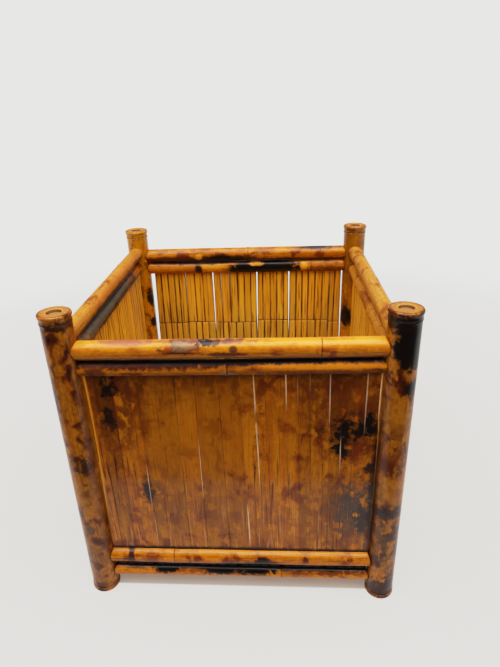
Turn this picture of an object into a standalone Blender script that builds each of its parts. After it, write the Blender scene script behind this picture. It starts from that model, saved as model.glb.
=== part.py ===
"""Square planter box of burnt bamboo.

Four culm posts are joined by twin rails at the top and at the bottom of each wall. Upright boards of
flattened bamboo stand in grooves between the pairs of rails, and a slatted floor lies on the bottom rails.

Units are metres and +Z is up. The front faces -Y. The origin is the middle of the footprint, on the floor.
"""

import math
from typing import NamedTuple

import bmesh
import bpy
from mathutils import Matrix

# Fit between pieces
CLEARANCE = 0.0003

# Posts
POST_SPACING = 0.2785
POST_HEIGHT = 0.3050
POST_DIAMETER = 0.0263
POST_BORE = 0.0120
POST_EDGE = 0.0008
PIT_DEPTH = 0.0040
SEPTUM = 0.0030
TOP_NODE_DROP = 0.0075
FOOT_NODE_HEIGHT = 0.0065

# Node rings, the raised joints of a bamboo stem
NODE_RISE = 0.0004
NODE_WIDTH = 0.0030
NODE_CREST = 0.0010

# Top rails: the drop runs from the post tops to the axis of the upper rail, the gap from rail to rail
FRONT_DROP = 0.0340
FRONT_UPPER_DIAMETER = 0.0160
FRONT_LOWER_DIAMETER = 0.0135
FRONT_PAIR_GAP = 0.0020
BACK_DROP = 0.0345
BACK_UPPER_DIAMETER = 0.0148
BACK_LOWER_DIAMETER = 0.0138
BACK_PAIR_GAP = 0.0020
LEFT_DROP = 0.0280
LEFT_UPPER_DIAMETER = 0.0156
LEFT_LOWER_DIAMETER = 0.0130
LEFT_PAIR_GAP = 0.0042
RIGHT_DROP = 0.0320
RIGHT_UPPER_DIAMETER = 0.0160
RIGHT_LOWER_DIAMETER = 0.0120
RIGHT_PAIR_GAP = 0.0085

# Bottom rails, alike in all four walls
BOTTOM_LIFT = 0.0145
BOTTOM_LOWER_DIAMETER = 0.0130
BOTTOM_UPPER_DIAMETER = 0.0165

# Places of the rails' nodes, from the middle of the rail
FRONT_TOP_UPPER_NODE = 0.0754
FRONT_TOP_LOWER_NODE = -0.0300
FRONT_BOTTOM_NODE = -0.0636
BACK_TOP_UPPER_NODE = 0.0044
BACK_TOP_LOWER_NODE = 0.0850
BACK_BOTTOM_NODE = -0.0400
LEFT_TOP_UPPER_NODE = 0.0600
LEFT_TOP_LOWER_NODE = -0.0450
LEFT_BOTTOM_UPPER_NODE = 0.0300
LEFT_BOTTOM_LOWER_NODE = -0.0650
RIGHT_TOP_UPPER_NODE = -0.0605
RIGHT_TOP_LOWER_NODE = 0.0500
RIGHT_BOTTOM_UPPER_NODE = -0.0350
RIGHT_BOTTOM_LOWER_NODE = 0.0550

# Tenons and the pins that lock them. A tenon's stop is how far its end is from the axis of what it enters
TENON_DIAMETER = 0.0075
TENON_ROOT = 0.0040
DEEP_TENON_STOP = 0.0022
SHORT_TENON_STOP = 0.0065
PIN_DIAMETER = 0.0022
PIN_OFFSET = 0.0048
PIN_PROUD = 0.0003
PIN_DEPTH = 0.0075

# Widths of the wall boards, from -X to +X or from -Y to +Y. They set the boards' shares of the wall
FRONT_TOP_WIDTHS = (0.0450, 0.0497, 0.0499, 0.0578, 0.0472)
FRONT_BOTTOM_WIDTHS = (0.0450, 0.0499, 0.0553, 0.0552, 0.0439)
BACK_TOP_WIDTHS = (0.0413, 0.0362, 0.0585, 0.0418, 0.0530, 0.0150)
BACK_BOTTOM_WIDTHS = (0.0430, 0.0380, 0.0560, 0.0430, 0.0520, 0.0160)
BACK_START_GAP = 0.0040
LEFT_WIDTHS = (0.0480, 0.0520, 0.0510, 0.0550, 0.0450)
RIGHT_WIDTHS = (0.0460, 0.0540, 0.0490, 0.0520, 0.0500)

# Wall boards and the grooves that hold them
BOARD_THICKNESS = 0.0034
BOARD_GAP = 0.0006
BOARD_SIDE_GAP = 0.0011
GROOVE_DEPTH = 0.0030
GROOVE_WEB = 0.0004
CRACK_WIDTH = 0.0009

# Floor
FLOOR_THICKNESS = 0.0035
FLOOR_HEADROOM = 0.0022
FLOOR_BOARDS = 6
FLOOR_GAP = 0.0040
FLOOR_OVERHANG = 0.0020
BEARER_DIAMETER = 0.0110
BEARER_TENON = 0.0050
BEARER_TENON_STOP = 0.0022
BEARER_LAP = 0.0030
BEARER_SPACING = 0.0920

# Facets round a turned piece
POST_FACETS = 24
RAIL_FACETS = 16
BORE_FACETS = 12
PIN_FACETS = 8
SHARP_ANGLE = math.radians(35)


class Finish(NamedTuple):
    """Plain colour of a kind of piece."""

    colour: tuple
    roughness: float


POST_FINISH = Finish((0.150, 0.055, 0.018), 0.28)
RAIL_FINISH = Finish((0.480, 0.210, 0.045), 0.25)
BOARD_FINISH = Finish((0.270, 0.095, 0.022), 0.30)
INNER_FINISH = Finish((0.450, 0.230, 0.060), 0.45)
FLOOR_FINISH = Finish((0.420, 0.220, 0.070), 0.50)
PIN_FINISH = Finish((0.200, 0.090, 0.035), 0.40)


class Rail(NamedTuple):
    """One cane between two posts. Its axis is at `height`, and `node` is the place of its node ring."""

    height: float
    diameter: float
    groove: int
    pinned: bool
    node: float

    @property
    def radius(self):
        return self.diameter / 2

    @property
    def tenon_radius(self):
        """A grooved rail's tenon stays clear of the groove."""
        if self.groove:
            return self.radius - GROOVE_DEPTH - GROOVE_WEB
        return TENON_DIAMETER / 2

    @property
    def groove_floor(self):
        return self.height + self.groove * (self.radius - GROOVE_DEPTH)


class Wall(NamedTuple):
    """One side of the box, with its boards' widths along the top and along the bottom.

    `slits` holds each board's cracks: the place across the board, then the low and the high end, as shares.
    """

    turn: float
    side: int
    rails: dict
    top_widths: tuple
    bottom_widths: tuple
    start_gap: float
    slits: tuple
    finish: Finish


HALF = POST_SPACING / 2
POST_RADIUS = POST_DIAMETER / 2
BOTTOM_LOWER_AXIS = BOTTOM_LIFT + BOTTOM_LOWER_DIAMETER / 2
FLOOR_REST = BOTTOM_LIFT + BOTTOM_LOWER_DIAMETER + CLEARANCE
BOTTOM_UPPER_AXIS = FLOOR_REST + FLOOR_THICKNESS + FLOOR_HEADROOM + BOTTOM_UPPER_DIAMETER / 2


def floor_boards():
    """Left and right edge of each floor board."""
    reach = HALF - POST_RADIUS - BOARD_SIDE_GAP
    width = (2 * reach - FLOOR_GAP * (FLOOR_BOARDS - 1)) / FLOOR_BOARDS
    for number in range(FLOOR_BOARDS):
        left = -reach + number * (width + FLOOR_GAP)
        yield left, left + width


def between_floor_boards(number):
    """The middle of a gap in the floor, where a bottom rail's node has room."""
    return list(floor_boards())[number][1] + FLOOR_GAP / 2


def wall_rails(drop, upper, lower, gap, pinned, nodes):
    """The four rails of a wall, from the drop of its upper rail and the sizes of its top pair."""
    upper_axis = POST_HEIGHT - drop
    lower_axis = upper_axis - upper / 2 - gap - lower / 2
    return {
        "top_upper": Rail(upper_axis, upper, 0, False, nodes[0]),
        "top_lower": Rail(lower_axis, lower, -1, pinned, nodes[1]),
        "bottom_upper": Rail(BOTTOM_UPPER_AXIS, BOTTOM_UPPER_DIAMETER, 1, False, nodes[2]),
        "bottom_lower": Rail(BOTTOM_LOWER_AXIS, BOTTOM_LOWER_DIAMETER, 0, pinned, nodes[3]),
    }


WALLS = {
    "front": Wall(
        turn=0.0,
        side=-1,
        rails=wall_rails(
            FRONT_DROP, FRONT_UPPER_DIAMETER, FRONT_LOWER_DIAMETER, FRONT_PAIR_GAP, True,
            (FRONT_TOP_UPPER_NODE, FRONT_TOP_LOWER_NODE, FRONT_BOTTOM_NODE, between_floor_boards(3)),
        ),
        top_widths=FRONT_TOP_WIDTHS,
        bottom_widths=FRONT_BOTTOM_WIDTHS,
        start_gap=0.0,
        slits=(
            ((0.22, 0.30, 0.75),),
            ((0.56, 0.06, 0.42), (0.30, 0.60, 0.90)),
            ((0.52, 0.42, 0.80), (0.76, 0.04, 0.30)),
            ((0.15, 0.35, 0.70), (0.46, 0.78, 0.96), (0.80, 0.30, 0.60)),
            ((0.32, 0.08, 0.66), (0.74, 0.72, 0.97)),
        ),
        finish=BOARD_FINISH,
    ),
    "back": Wall(
        turn=0.0,
        side=1,
        rails=wall_rails(
            BACK_DROP, BACK_UPPER_DIAMETER, BACK_LOWER_DIAMETER, BACK_PAIR_GAP, True,
            (BACK_TOP_UPPER_NODE, BACK_TOP_LOWER_NODE, BACK_BOTTOM_NODE, between_floor_boards(1)),
        ),
        top_widths=BACK_TOP_WIDTHS,
        bottom_widths=BACK_BOTTOM_WIDTHS,
        start_gap=BACK_START_GAP,
        slits=(
            ((0.28, 0.10, 0.60), (0.70, 0.66, 0.94)),
            ((0.48, 0.20, 0.64), (0.74, 0.70, 0.95)),
            ((0.20, 0.66, 0.95), (0.42, 0.08, 0.60), (0.72, 0.50, 0.90)),
            ((0.30, 0.10, 0.50), (0.66, 0.68, 0.93)),
            ((0.24, 0.64, 0.92), (0.62, 0.15, 0.58)),
            ((0.50, 0.30, 0.62),),
        ),
        finish=INNER_FINISH,
    ),
    "left": Wall(
        turn=math.pi / 2,
        side=-1,
        rails=wall_rails(
            LEFT_DROP, LEFT_UPPER_DIAMETER, LEFT_LOWER_DIAMETER, LEFT_PAIR_GAP, False,
            (LEFT_TOP_UPPER_NODE, LEFT_TOP_LOWER_NODE, LEFT_BOTTOM_UPPER_NODE, LEFT_BOTTOM_LOWER_NODE),
        ),
        top_widths=LEFT_WIDTHS,
        bottom_widths=LEFT_WIDTHS,
        start_gap=0.0,
        slits=(
            ((0.35, 0.20, 0.70),),
            ((0.62, 0.45, 0.92),),
            ((0.30, 0.10, 0.55), (0.75, 0.60, 0.95)),
            ((0.55, 0.30, 0.85),),
            ((0.42, 0.08, 0.48),),
        ),
        finish=INNER_FINISH,
    ),
    "right": Wall(
        turn=math.pi / 2,
        side=1,
        rails=wall_rails(
            RIGHT_DROP, RIGHT_UPPER_DIAMETER, RIGHT_LOWER_DIAMETER, RIGHT_PAIR_GAP, False,
            (RIGHT_TOP_UPPER_NODE, RIGHT_TOP_LOWER_NODE, RIGHT_BOTTOM_UPPER_NODE, RIGHT_BOTTOM_LOWER_NODE),
        ),
        top_widths=RIGHT_WIDTHS,
        bottom_widths=RIGHT_WIDTHS,
        start_gap=0.0,
        slits=(
            ((0.60, 0.35, 0.88),),
            ((0.28, 0.08, 0.50), (0.70, 0.52, 0.94)),
            ((0.50, 0.25, 0.75),),
            ((0.36, 0.50, 0.95),),
            ((0.66, 0.12, 0.60),),
        ),
        finish=INNER_FINISH,
    ),
}


def clear_scene():
    for item in list(bpy.data.objects):
        bpy.data.objects.remove(item, do_unlink=True)


def material(name, finish):
    """A Principled BSDF material in the finish's colour, for one piece."""
    made = bpy.data.materials.new(name)
    made.use_nodes = True
    shader = made.node_tree.nodes["Principled BSDF"]
    shader.inputs["Base Color"].default_value = (*finish.colour, 1.0)
    shader.inputs["Roughness"].default_value = finish.roughness
    shader.inputs["Metallic"].default_value = 0.0
    return made


def new_object(name, bm, parent=None):
    """An object of its own from the mesh `bm`, with every face pointing out."""
    bmesh.ops.recalc_face_normals(bm, faces=bm.faces)
    mesh = bpy.data.meshes.new(name)
    bm.to_mesh(mesh)
    bm.free()
    made = bpy.data.objects.new(name, mesh)
    made.parent = parent
    bpy.context.scene.collection.objects.link(made)
    return made


def piece(name, bm, finish, parent=None, smooth=True):
    made = new_object(name, bm, parent)
    made.data.materials.append(material(name, finish))
    if smooth:
        made.data.shade_smooth()
        made.data.set_sharp_from_angle(angle=SHARP_ANGLE)
    return made


def cutter(name, bm, parent=None):
    """A guide that only cuts or joins other pieces."""
    made = new_object(name, bm, parent)
    made.hide_render = True
    made.display_type = "WIRE"
    return made


def combine(target, tool, operation="DIFFERENCE"):
    modifier = target.modifiers.new(f"{operation.lower()} {tool.name}", "BOOLEAN")
    modifier.operation = operation
    modifier.object = tool
    modifier.solver = "EXACT"


def turned(bm, profile, facets, place=Matrix.Identity(4)):
    """Add a closed solid turned about local Z from (height, radius) points, put where `place` says."""
    rings = []
    for height, radius in profile:
        ring = []
        for step in range(facets):
            angle = math.tau * step / facets
            point = place @ Matrix.Translation((radius * math.cos(angle), radius * math.sin(angle), height))
            ring.append(bm.verts.new(point.translation))
        rings.append(ring)
    for low, high in zip(rings, rings[1:]):
        for step in range(facets):
            after = (step + 1) % facets
            bm.faces.new((low[step], low[after], high[after], high[step]))
    bm.faces.new(reversed(rings[0]))
    bm.faces.new(rings[-1])


def cylinder(bm, start, end, radius, facets, place=Matrix.Identity(4)):
    turned(bm, ((start, radius), (end, radius)), facets, place)


def upright_plate(bm, outline, back, front):
    """Add a plate whose (across, height) outline stands between two depths."""
    near = [bm.verts.new((across, back, height)) for across, height in outline]
    far = [bm.verts.new((across, front, height)) for across, height in outline]
    count = len(outline)
    bm.faces.new(near)
    bm.faces.new(reversed(far))
    for step in range(count):
        after = (step + 1) % count
        bm.faces.new((near[after], near[step], far[step], far[after]))


def node_ring(height, radius):
    """Profile points of the raised ring at a bamboo node."""
    half = NODE_WIDTH / 2
    crest = NODE_CREST / 2
    return (
        (height - half, radius),
        (height - crest, radius + NODE_RISE),
        (height + crest, radius + NODE_RISE),
        (height + half, radius),
    )


# Turns that lay local Z along another axis, and the one that turns a post's flats towards its rails
ALONG_X = Matrix.Rotation(math.pi / 2, 4, "Y")
ALONG_Y = Matrix.Rotation(-math.pi / 2, 4, "X")
FLATS_TO_RAILS = Matrix.Rotation(math.pi / POST_FACETS, 4, "Z")


def corner_name(side_x, side_y):
    return f"{'front' if side_y < 0 else 'back'}_{'left' if side_x < 0 else 'right'}"


def post_profile():
    """Outer shape of a post: chamfered ends and a node ring near each."""
    return (
        (0.0, POST_RADIUS - POST_EDGE),
        (POST_EDGE, POST_RADIUS),
        *node_ring(FOOT_NODE_HEIGHT, POST_RADIUS),
        *node_ring(POST_HEIGHT - TOP_NODE_DROP, POST_RADIUS),
        (POST_HEIGHT - POST_EDGE, POST_RADIUS),
        (POST_HEIGHT, POST_RADIUS - POST_EDGE),
    )


def post_hollows(post):
    """The culm's hollow between two septa, and the open pit beyond each septum."""
    bm = bmesh.new()
    radius = POST_BORE / 2
    cylinder(bm, -PIT_DEPTH, PIT_DEPTH, radius, BORE_FACETS)
    cylinder(bm, PIT_DEPTH + SEPTUM, POST_HEIGHT - PIT_DEPTH - SEPTUM, radius, BORE_FACETS)
    cylinder(bm, POST_HEIGHT - PIT_DEPTH, POST_HEIGHT + PIT_DEPTH, radius, BORE_FACETS)
    combine(post, cutter(f"{post.name}_hollows", bm, post.parent))


def tenon_stop(wall):
    """How far from the post's axis the wall's tenons end: the front and back ones go in deeper."""
    return SHORT_TENON_STOP if wall.turn else DEEP_TENON_STOP


def post_sockets(post, side_x, side_y):
    """Holes for the tenons of the two walls that meet at this post."""
    bm = bmesh.new()
    meeting = [wall for wall in WALLS.values() if wall.side == (side_x if wall.turn else side_y)]
    for wall in meeting:
        inward = -side_y if wall.turn else -side_x
        along = ALONG_Y if wall.turn else ALONG_X
        start = tenon_stop(wall) - CLEARANCE
        end = POST_DIAMETER
        for rail in wall.rails.values():
            place = Matrix.Translation((0, 0, rail.height)) @ along
            ends = sorted((inward * start, inward * end))
            cylinder(bm, *ends, rail.tenon_radius + CLEARANCE, BORE_FACETS, place)
    combine(post, cutter(f"{post.name}_sockets", bm, post.parent))


def pin_places(side_x, side_y):
    """Where the pins stand in a post: their matrix puts local Z along the pin, pointing out of the post."""
    wall = WALLS["front" if side_y < 0 else "back"]
    outward = ALONG_Y if side_y > 0 else Matrix.Rotation(math.pi / 2, 4, "X")
    for rail_name, rail in wall.rails.items():
        if rail.pinned:
            yield rail_name, Matrix.Translation((-side_x * PIN_OFFSET, 0, rail.height)) @ outward


def pin_head():
    """Distance from the plane of the post axes to the pin's outer end."""
    return math.sqrt(POST_RADIUS ** 2 - PIN_OFFSET ** 2) + PIN_PROUD


def pin_holes(name, side_x, side_y, parent):
    bm = bmesh.new()
    for _, place in pin_places(side_x, side_y):
        radius = PIN_DIAMETER / 2 + CLEARANCE
        cylinder(bm, -PIN_DEPTH - CLEARANCE, POST_DIAMETER, radius, PIN_FACETS, place)
    return cutter(name, bm, parent)


def make_post(side_x, side_y):
    """A corner post, its pins and the guides that shape the rails which meet it."""
    corner = corner_name(side_x, side_y)
    stand = bpy.data.objects.new(f"{corner}_corner", None)
    stand.location = (side_x * HALF, side_y * HALF, 0)
    bpy.context.scene.collection.objects.link(stand)

    bm = bmesh.new()
    turned(bm, post_profile(), POST_FACETS, FLATS_TO_RAILS)
    post = piece(f"post_{corner}", bm, POST_FINISH, stand)
    post_hollows(post)
    post_sockets(post, side_x, side_y)
    holes = pin_holes(f"{corner}_pin_holes", side_x, side_y, stand)
    combine(post, holes)

    for rail_name, place in pin_places(side_x, side_y):
        bm = bmesh.new()
        cylinder(bm, -PIN_DEPTH, pin_head(), PIN_DIAMETER / 2, PIN_FACETS, place)
        piece(f"pin_{corner}_{rail_name}", bm, PIN_FINISH, stand)

    bm = bmesh.new()
    ends = -POST_DIAMETER, POST_HEIGHT + POST_DIAMETER
    cylinder(bm, *ends, POST_RADIUS + CLEARANCE, POST_FACETS, FLATS_TO_RAILS)
    return cutter(f"{corner}_cope", bm, stand), holes


def rail_body(rail):
    """Profile of a rail as long as the post spacing, with its node ring."""
    return (-HALF, rail.radius), *node_ring(rail.node, rail.radius), (HALF, rail.radius)


def rail_tenons(name, rail, stop, parent):
    """A dowel at each end of a rail, from its stop inside the post to its root inside the rail."""
    bm = bmesh.new()
    place = Matrix.Translation((0, 0, rail.height)) @ ALONG_X
    tip = HALF - stop
    root = HALF - POST_RADIUS - TENON_ROOT
    cylinder(bm, -tip, -root, rail.tenon_radius, BORE_FACETS, place)
    cylinder(bm, root, tip, rail.tenon_radius, BORE_FACETS, place)
    return cutter(name, bm, parent)


def rail_groove(name, rail, parent):
    """A slot along the middle of the rail, open towards the boards."""
    bm = bmesh.new()
    half_width = BOARD_THICKNESS / 2 + CLEARANCE
    mouth = rail.height + rail.groove * rail.diameter
    low, high = sorted((rail.groove_floor, mouth))
    outline = ((-HALF, low), (HALF, low), (HALF, high), (-HALF, high))
    upright_plate(bm, outline, -half_width, half_width)
    return cutter(name, bm, parent)


def make_rail(wall_name, rail_name, stand, corners):
    """A rail with coped ends, tenons and, beside the boards, a groove."""
    wall = WALLS[wall_name]
    rail = wall.rails[rail_name]
    name = f"{wall_name}_rail_{rail_name}"
    bm = bmesh.new()
    turned(bm, rail_body(rail), RAIL_FACETS, Matrix.Translation((0, 0, rail.height)) @ ALONG_X)
    made = piece(name, bm, RAIL_FINISH, stand)
    for cope, _ in corners:
        combine(made, cope)
    if rail.groove:
        combine(made, rail_groove(f"{name}_groove", rail, stand))
    combine(made, rail_tenons(f"{name}_tenons", rail, tenon_stop(wall), stand), "UNION")
    if rail.pinned:
        for _, holes in corners:
            combine(made, holes)
    return made


def edges(widths, start, end):
    """Left and right edge of each board: the boards share the space from start to end by their widths."""
    scale = (end - start - BOARD_GAP * (len(widths) - 1)) / sum(widths)
    place = start
    for width in widths:
        yield place, place + width * scale
        place += width * scale + BOARD_GAP


def make_boards(wall_name, stand):
    """The upright boards of a wall, each with the cracks that run through it."""
    wall = WALLS[wall_name]
    low = wall.rails["bottom_upper"].groove_floor + CLEARANCE
    high = wall.rails["top_lower"].groove_floor - CLEARANCE
    reach = HALF - POST_RADIUS - BOARD_SIDE_GAP
    bottoms = edges(wall.bottom_widths, -reach, reach)
    tops = edges(wall.top_widths, -reach + wall.start_gap, reach)
    face = BOARD_THICKNESS / 2
    boards = zip(bottoms, tops, wall.slits)
    for number, ((low_left, low_right), (high_left, high_right), slits) in enumerate(boards, 1):
        bm = bmesh.new()
        outline = ((low_left, low), (low_right, low), (high_right, high), (high_left, high))
        upright_plate(bm, outline, -face, face)
        board = piece(f"{wall_name}_board_{number}", bm, wall.finish, stand, smooth=False)

        def on_board(across, up):
            """A point on the board's face, from its shares of the width and of the height."""
            left = low_left + (high_left - low_left) * up
            right = low_right + (high_right - low_right) * up
            return left + (right - left) * across, low + (high - low) * up

        bm = bmesh.new()
        for across, start, end in slits:
            foot = on_board(across, start)
            head = on_board(across, end)
            middle = on_board(across, (start + end) / 2)
            wide = CRACK_WIDTH / 2
            crack = (foot, (middle[0] + wide, middle[1]), head, (middle[0] - wide, middle[1]))
            upright_plate(bm, crack, -BOARD_THICKNESS, BOARD_THICKNESS)
        combine(board, cutter(f"{board.name}_cracks", bm, stand))


def make_wall(wall_name, posts):
    """The rails and boards of a wall, under an empty in the wall's plane whose local X runs along it."""
    wall = WALLS[wall_name]
    stand = bpy.data.objects.new(f"{wall_name}_wall", None)
    stand.location = (wall.side * HALF, 0, 0) if wall.turn else (0, wall.side * HALF, 0)
    stand.rotation_euler = (0, 0, wall.turn)
    bpy.context.scene.collection.objects.link(stand)
    if wall.turn:
        corners = [posts[wall.side, -1], posts[wall.side, 1]]
    else:
        corners = [posts[-1, wall.side], posts[1, wall.side]]
    rails = {name: make_rail(wall_name, name, stand, corners) for name in wall.rails}
    make_boards(wall_name, stand)
    return rails


def make_bearers(left_rail, right_rail):
    """Two canes close under the floor boards, coped and tenoned into the left and right bottom rails."""
    radius = BEARER_DIAMETER / 2
    height = FLOOR_REST - CLEARANCE - radius
    rail_radius = BOTTOM_LOWER_DIAMETER / 2
    bm = bmesh.new()
    for side in (-1, 1):
        place = Matrix.Translation((side * HALF, 0, BOTTOM_LOWER_AXIS)) @ ALONG_Y
        cylinder(bm, -HALF, HALF, rail_radius + CLEARANCE, RAIL_FACETS, place)
    saddle = cutter("bearer_saddle", bm)
    tip = HALF - BEARER_TENON_STOP
    end = HALF - rail_radius + BEARER_LAP
    root = HALF - rail_radius - TENON_ROOT
    for label, side in (("front", -1), ("back", 1)):
        place = Matrix.Translation((0, side * BEARER_SPACING / 2, height)) @ ALONG_X
        bm = bmesh.new()
        cylinder(bm, -end, end, radius, BORE_FACETS, place)
        bearer = piece(f"floor_bearer_{label}", bm, FLOOR_FINISH)
        combine(bearer, saddle)

        tenons = bmesh.new()
        cylinder(tenons, -tip, -root, BEARER_TENON / 2, PIN_FACETS, place)
        cylinder(tenons, root, tip, BEARER_TENON / 2, PIN_FACETS, place)
        combine(bearer, cutter(f"{bearer.name}_tenons", tenons), "UNION")

        sockets = bmesh.new()
        reach = tip + CLEARANCE
        cylinder(sockets, -reach, reach, BEARER_TENON / 2 + CLEARANCE, PIN_FACETS, place)
        sockets = cutter(f"{bearer.name}_sockets", sockets)
        combine(left_rail, sockets)
        combine(right_rail, sockets)


def make_floor():
    """Boards from the front bottom rail to the back one."""
    length = POST_SPACING + 2 * FLOOR_OVERHANG
    top = FLOOR_REST + FLOOR_THICKNESS
    for number, (left, right) in enumerate(floor_boards(), 1):
        outline = ((left, FLOOR_REST), (right, FLOOR_REST), (right, top), (left, top))
        bm = bmesh.new()
        upright_plate(bm, outline, -length / 2, length / 2)
        piece(f"floor_board_{number}", bm, FLOOR_FINISH, smooth=False)


def build():
    clear_scene()
    posts = {(x, y): make_post(x, y) for x in (-1, 1) for y in (-1, 1)}
    rails = {name: make_wall(name, posts) for name in WALLS}
    make_bearers(rails["left"]["bottom_lower"], rails["right"]["bottom_lower"])
    make_floor()


build()
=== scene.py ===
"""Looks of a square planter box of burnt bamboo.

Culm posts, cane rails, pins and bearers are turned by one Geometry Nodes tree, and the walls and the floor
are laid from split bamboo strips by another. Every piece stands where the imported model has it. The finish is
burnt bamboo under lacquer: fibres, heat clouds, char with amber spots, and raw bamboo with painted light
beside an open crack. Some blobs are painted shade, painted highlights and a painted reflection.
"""

from __future__ import annotations

import logging
import math
import random
from dataclasses import dataclass, field, replace
from enum import Enum
from typing import Any, Sequence, Union

import bpy
import numpy as np
from mathutils import Matrix, Vector

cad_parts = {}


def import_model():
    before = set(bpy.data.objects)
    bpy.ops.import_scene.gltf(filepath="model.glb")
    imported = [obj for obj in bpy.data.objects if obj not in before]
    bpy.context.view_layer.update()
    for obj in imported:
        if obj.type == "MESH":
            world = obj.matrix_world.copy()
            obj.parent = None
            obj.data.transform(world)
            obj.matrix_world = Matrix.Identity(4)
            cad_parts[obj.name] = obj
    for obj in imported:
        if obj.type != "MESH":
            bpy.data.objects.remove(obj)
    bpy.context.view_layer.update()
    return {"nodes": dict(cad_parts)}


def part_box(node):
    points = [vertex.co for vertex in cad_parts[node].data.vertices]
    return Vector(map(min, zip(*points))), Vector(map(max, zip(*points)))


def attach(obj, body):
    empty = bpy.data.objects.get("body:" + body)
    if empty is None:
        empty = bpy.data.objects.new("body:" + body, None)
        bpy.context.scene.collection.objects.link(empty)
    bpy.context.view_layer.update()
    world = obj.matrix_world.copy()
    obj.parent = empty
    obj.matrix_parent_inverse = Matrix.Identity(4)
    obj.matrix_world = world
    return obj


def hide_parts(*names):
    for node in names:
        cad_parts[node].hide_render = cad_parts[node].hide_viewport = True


LOG = logging.getLogger("planter")

Colour = tuple[float, float, float]
Point = tuple[float, float, float]
Rows = list[tuple[float, float]]
Socket = bpy.types.NodeSocket
Value = Union[float, int, bool, str, Sequence[float], Socket, bpy.types.Material]

BODY = "root"
MM = 0.001
QUARTER = math.pi / 2


class Graph:
    """Adds nodes to a tree and links them, so that a tree reads as a list of steps."""

    COLUMN = 6
    STEP_X = 190.0
    STEP_Y = 210.0

    def __init__(self, tree: bpy.types.NodeTree) -> None:
        """Start on a shader or geometry tree."""
        self.tree = tree

    def add(self, kind: str, sockets: dict[str, Value] | None = None, **settings: Any) -> bpy.types.Node:
        """Add one node.

        Args:
            kind: The node's type, such as ShaderNodeMath.
            sockets: Input name to a value or to the socket that feeds it.
            settings: The node's own properties.

        Returns:
            The new node.
        """
        node = self.tree.nodes.new(kind)
        count = len(self.tree.nodes)
        node.location = (self.STEP_X * (count // self.COLUMN), -self.STEP_Y * (count % self.COLUMN))
        for name, value in settings.items():
            setattr(node, name, value)
        for name, value in (sockets or {}).items():
            self.feed(next(s for s in node.inputs if s.name == name and s.enabled), value)
        return node

    def feed(self, socket: Socket, value: Value) -> None:
        """Feed one input.

        Args:
            socket: The input.
            value: A value, or the output that is linked to it.
        """
        if isinstance(value, Socket):
            self.tree.links.new(value, socket)
        else:
            socket.default_value = value

    def out(self, kind: str, output: str, sockets: dict[str, Value] | None = None, **settings: Any) -> Socket:
        """Add one node and return its named output."""
        node = self.add(kind, sockets, **settings)
        return next(s for s in node.outputs if s.name == output and s.enabled)

    def math(self, operation: str, *values: Value, clamp: bool = False) -> Socket:
        """Add a Math node.

        Args:
            operation: What it does.
            values: Its inputs in order.
            clamp: Keeps the result from 0 to 1.

        Returns:
            Its result.
        """
        node = self.add("ShaderNodeMath", operation=operation, use_clamp=clamp)
        for socket, value in zip(node.inputs, values):
            self.feed(socket, value)
        return node.outputs[0]

    def plus(self, first: Value, second: Value) -> Socket:
        """Add two numbers."""
        return self.math("ADD", first, second)

    def minus(self, first: Value, second: Value, clamp: bool = False) -> Socket:
        """Take the second number from the first."""
        return self.math("SUBTRACT", first, second, clamp=clamp)

    def times(self, first: Value, second: Value, clamp: bool = False) -> Socket:
        """Multiply two numbers."""
        return self.math("MULTIPLY", first, second, clamp=clamp)

    def over(self, first: Value, second: Value, clamp: bool = False) -> Socket:
        """Divide the first number by the second."""
        return self.math("DIVIDE", first, second, clamp=clamp)

    def fused(self, first: Value, second: Value, third: Value) -> Socket:
        """Multiply two numbers and add a third."""
        return self.math("MULTIPLY_ADD", first, second, third)

    def vector(self, operation: str, *values: Value, output: str = "Vector") -> Socket:
        """Add a Vector Math node.

        Args:
            operation: What it does.
            values: Its inputs in order.
            output: Vector, or Value where the result is a number.

        Returns:
            Its result.
        """
        node = self.add("ShaderNodeVectorMath", operation=operation)
        for socket, value in zip([s for s in node.inputs if s.enabled], values):
            self.feed(socket, value)
        return node.outputs[output]

    def combine(self, x: Value = 0.0, y: Value = 0.0, z: Value = 0.0) -> Socket:
        """Join three numbers into a vector."""
        return self.out("ShaderNodeCombineXYZ", "Vector", {"X": x, "Y": y, "Z": z})

    def grey(self, value: Value) -> Socket:
        """One number as all three of a vector or colour."""
        return self.combine(value, value, value)

    def separate(self, vector: Value) -> Sequence[Socket]:
        """Split a vector or colour into its three numbers."""
        return self.add("ShaderNodeSeparateXYZ", {"Vector": vector}).outputs

    def blend(self, factor: Value, first: Value, second: Value) -> Socket:
        """Mix two numbers."""
        sockets = {"Factor": factor, "A": first, "B": second}
        return self.out("ShaderNodeMix", "Result", sockets, data_type="FLOAT")

    def tint(self, factor: Value, first: Value, second: Value, how: str = "MIX") -> Socket:
        """Mix two colours.

        Args:
            factor: Share of the second.
            first: A colour, or the socket that gives it.
            second: The other one.
            how: The way of mixing.

        Returns:
            The mixed colour.
        """
        one, other = (colour if isinstance(colour, Socket) else (*colour, 1.0) for colour in (first, second))
        sockets = {"Factor": factor, "A": one, "B": other}
        return self.out("ShaderNodeMix", "Result", sockets, data_type="RGBA", blend_type=how)

    def ramp(self, value: Value, start: Value, end: Value, low: Value = 0.0, high: Value = 1.0) -> Socket:
        """Map a range smoothly onto another, clamped at both ends."""
        sockets = {"Value": value, "From Min": start, "From Max": end, "To Min": low, "To Max": high}
        return self.out("ShaderNodeMapRange", "Result", sockets, interpolation_type="SMOOTHSTEP")

    def noise(
        self, at: Value, scale: Value, detail: float = 2.0, rough: float = 0.5, bend: float = 0.0
    ) -> Socket:
        """Add a noise texture and return its value, about 0.5 on average."""
        sockets = {"Vector": at, "Scale": scale, "Detail": detail, "Roughness": rough, "Distortion": bend}
        return self.add("ShaderNodeTexNoise", sockets).outputs[0]

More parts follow.
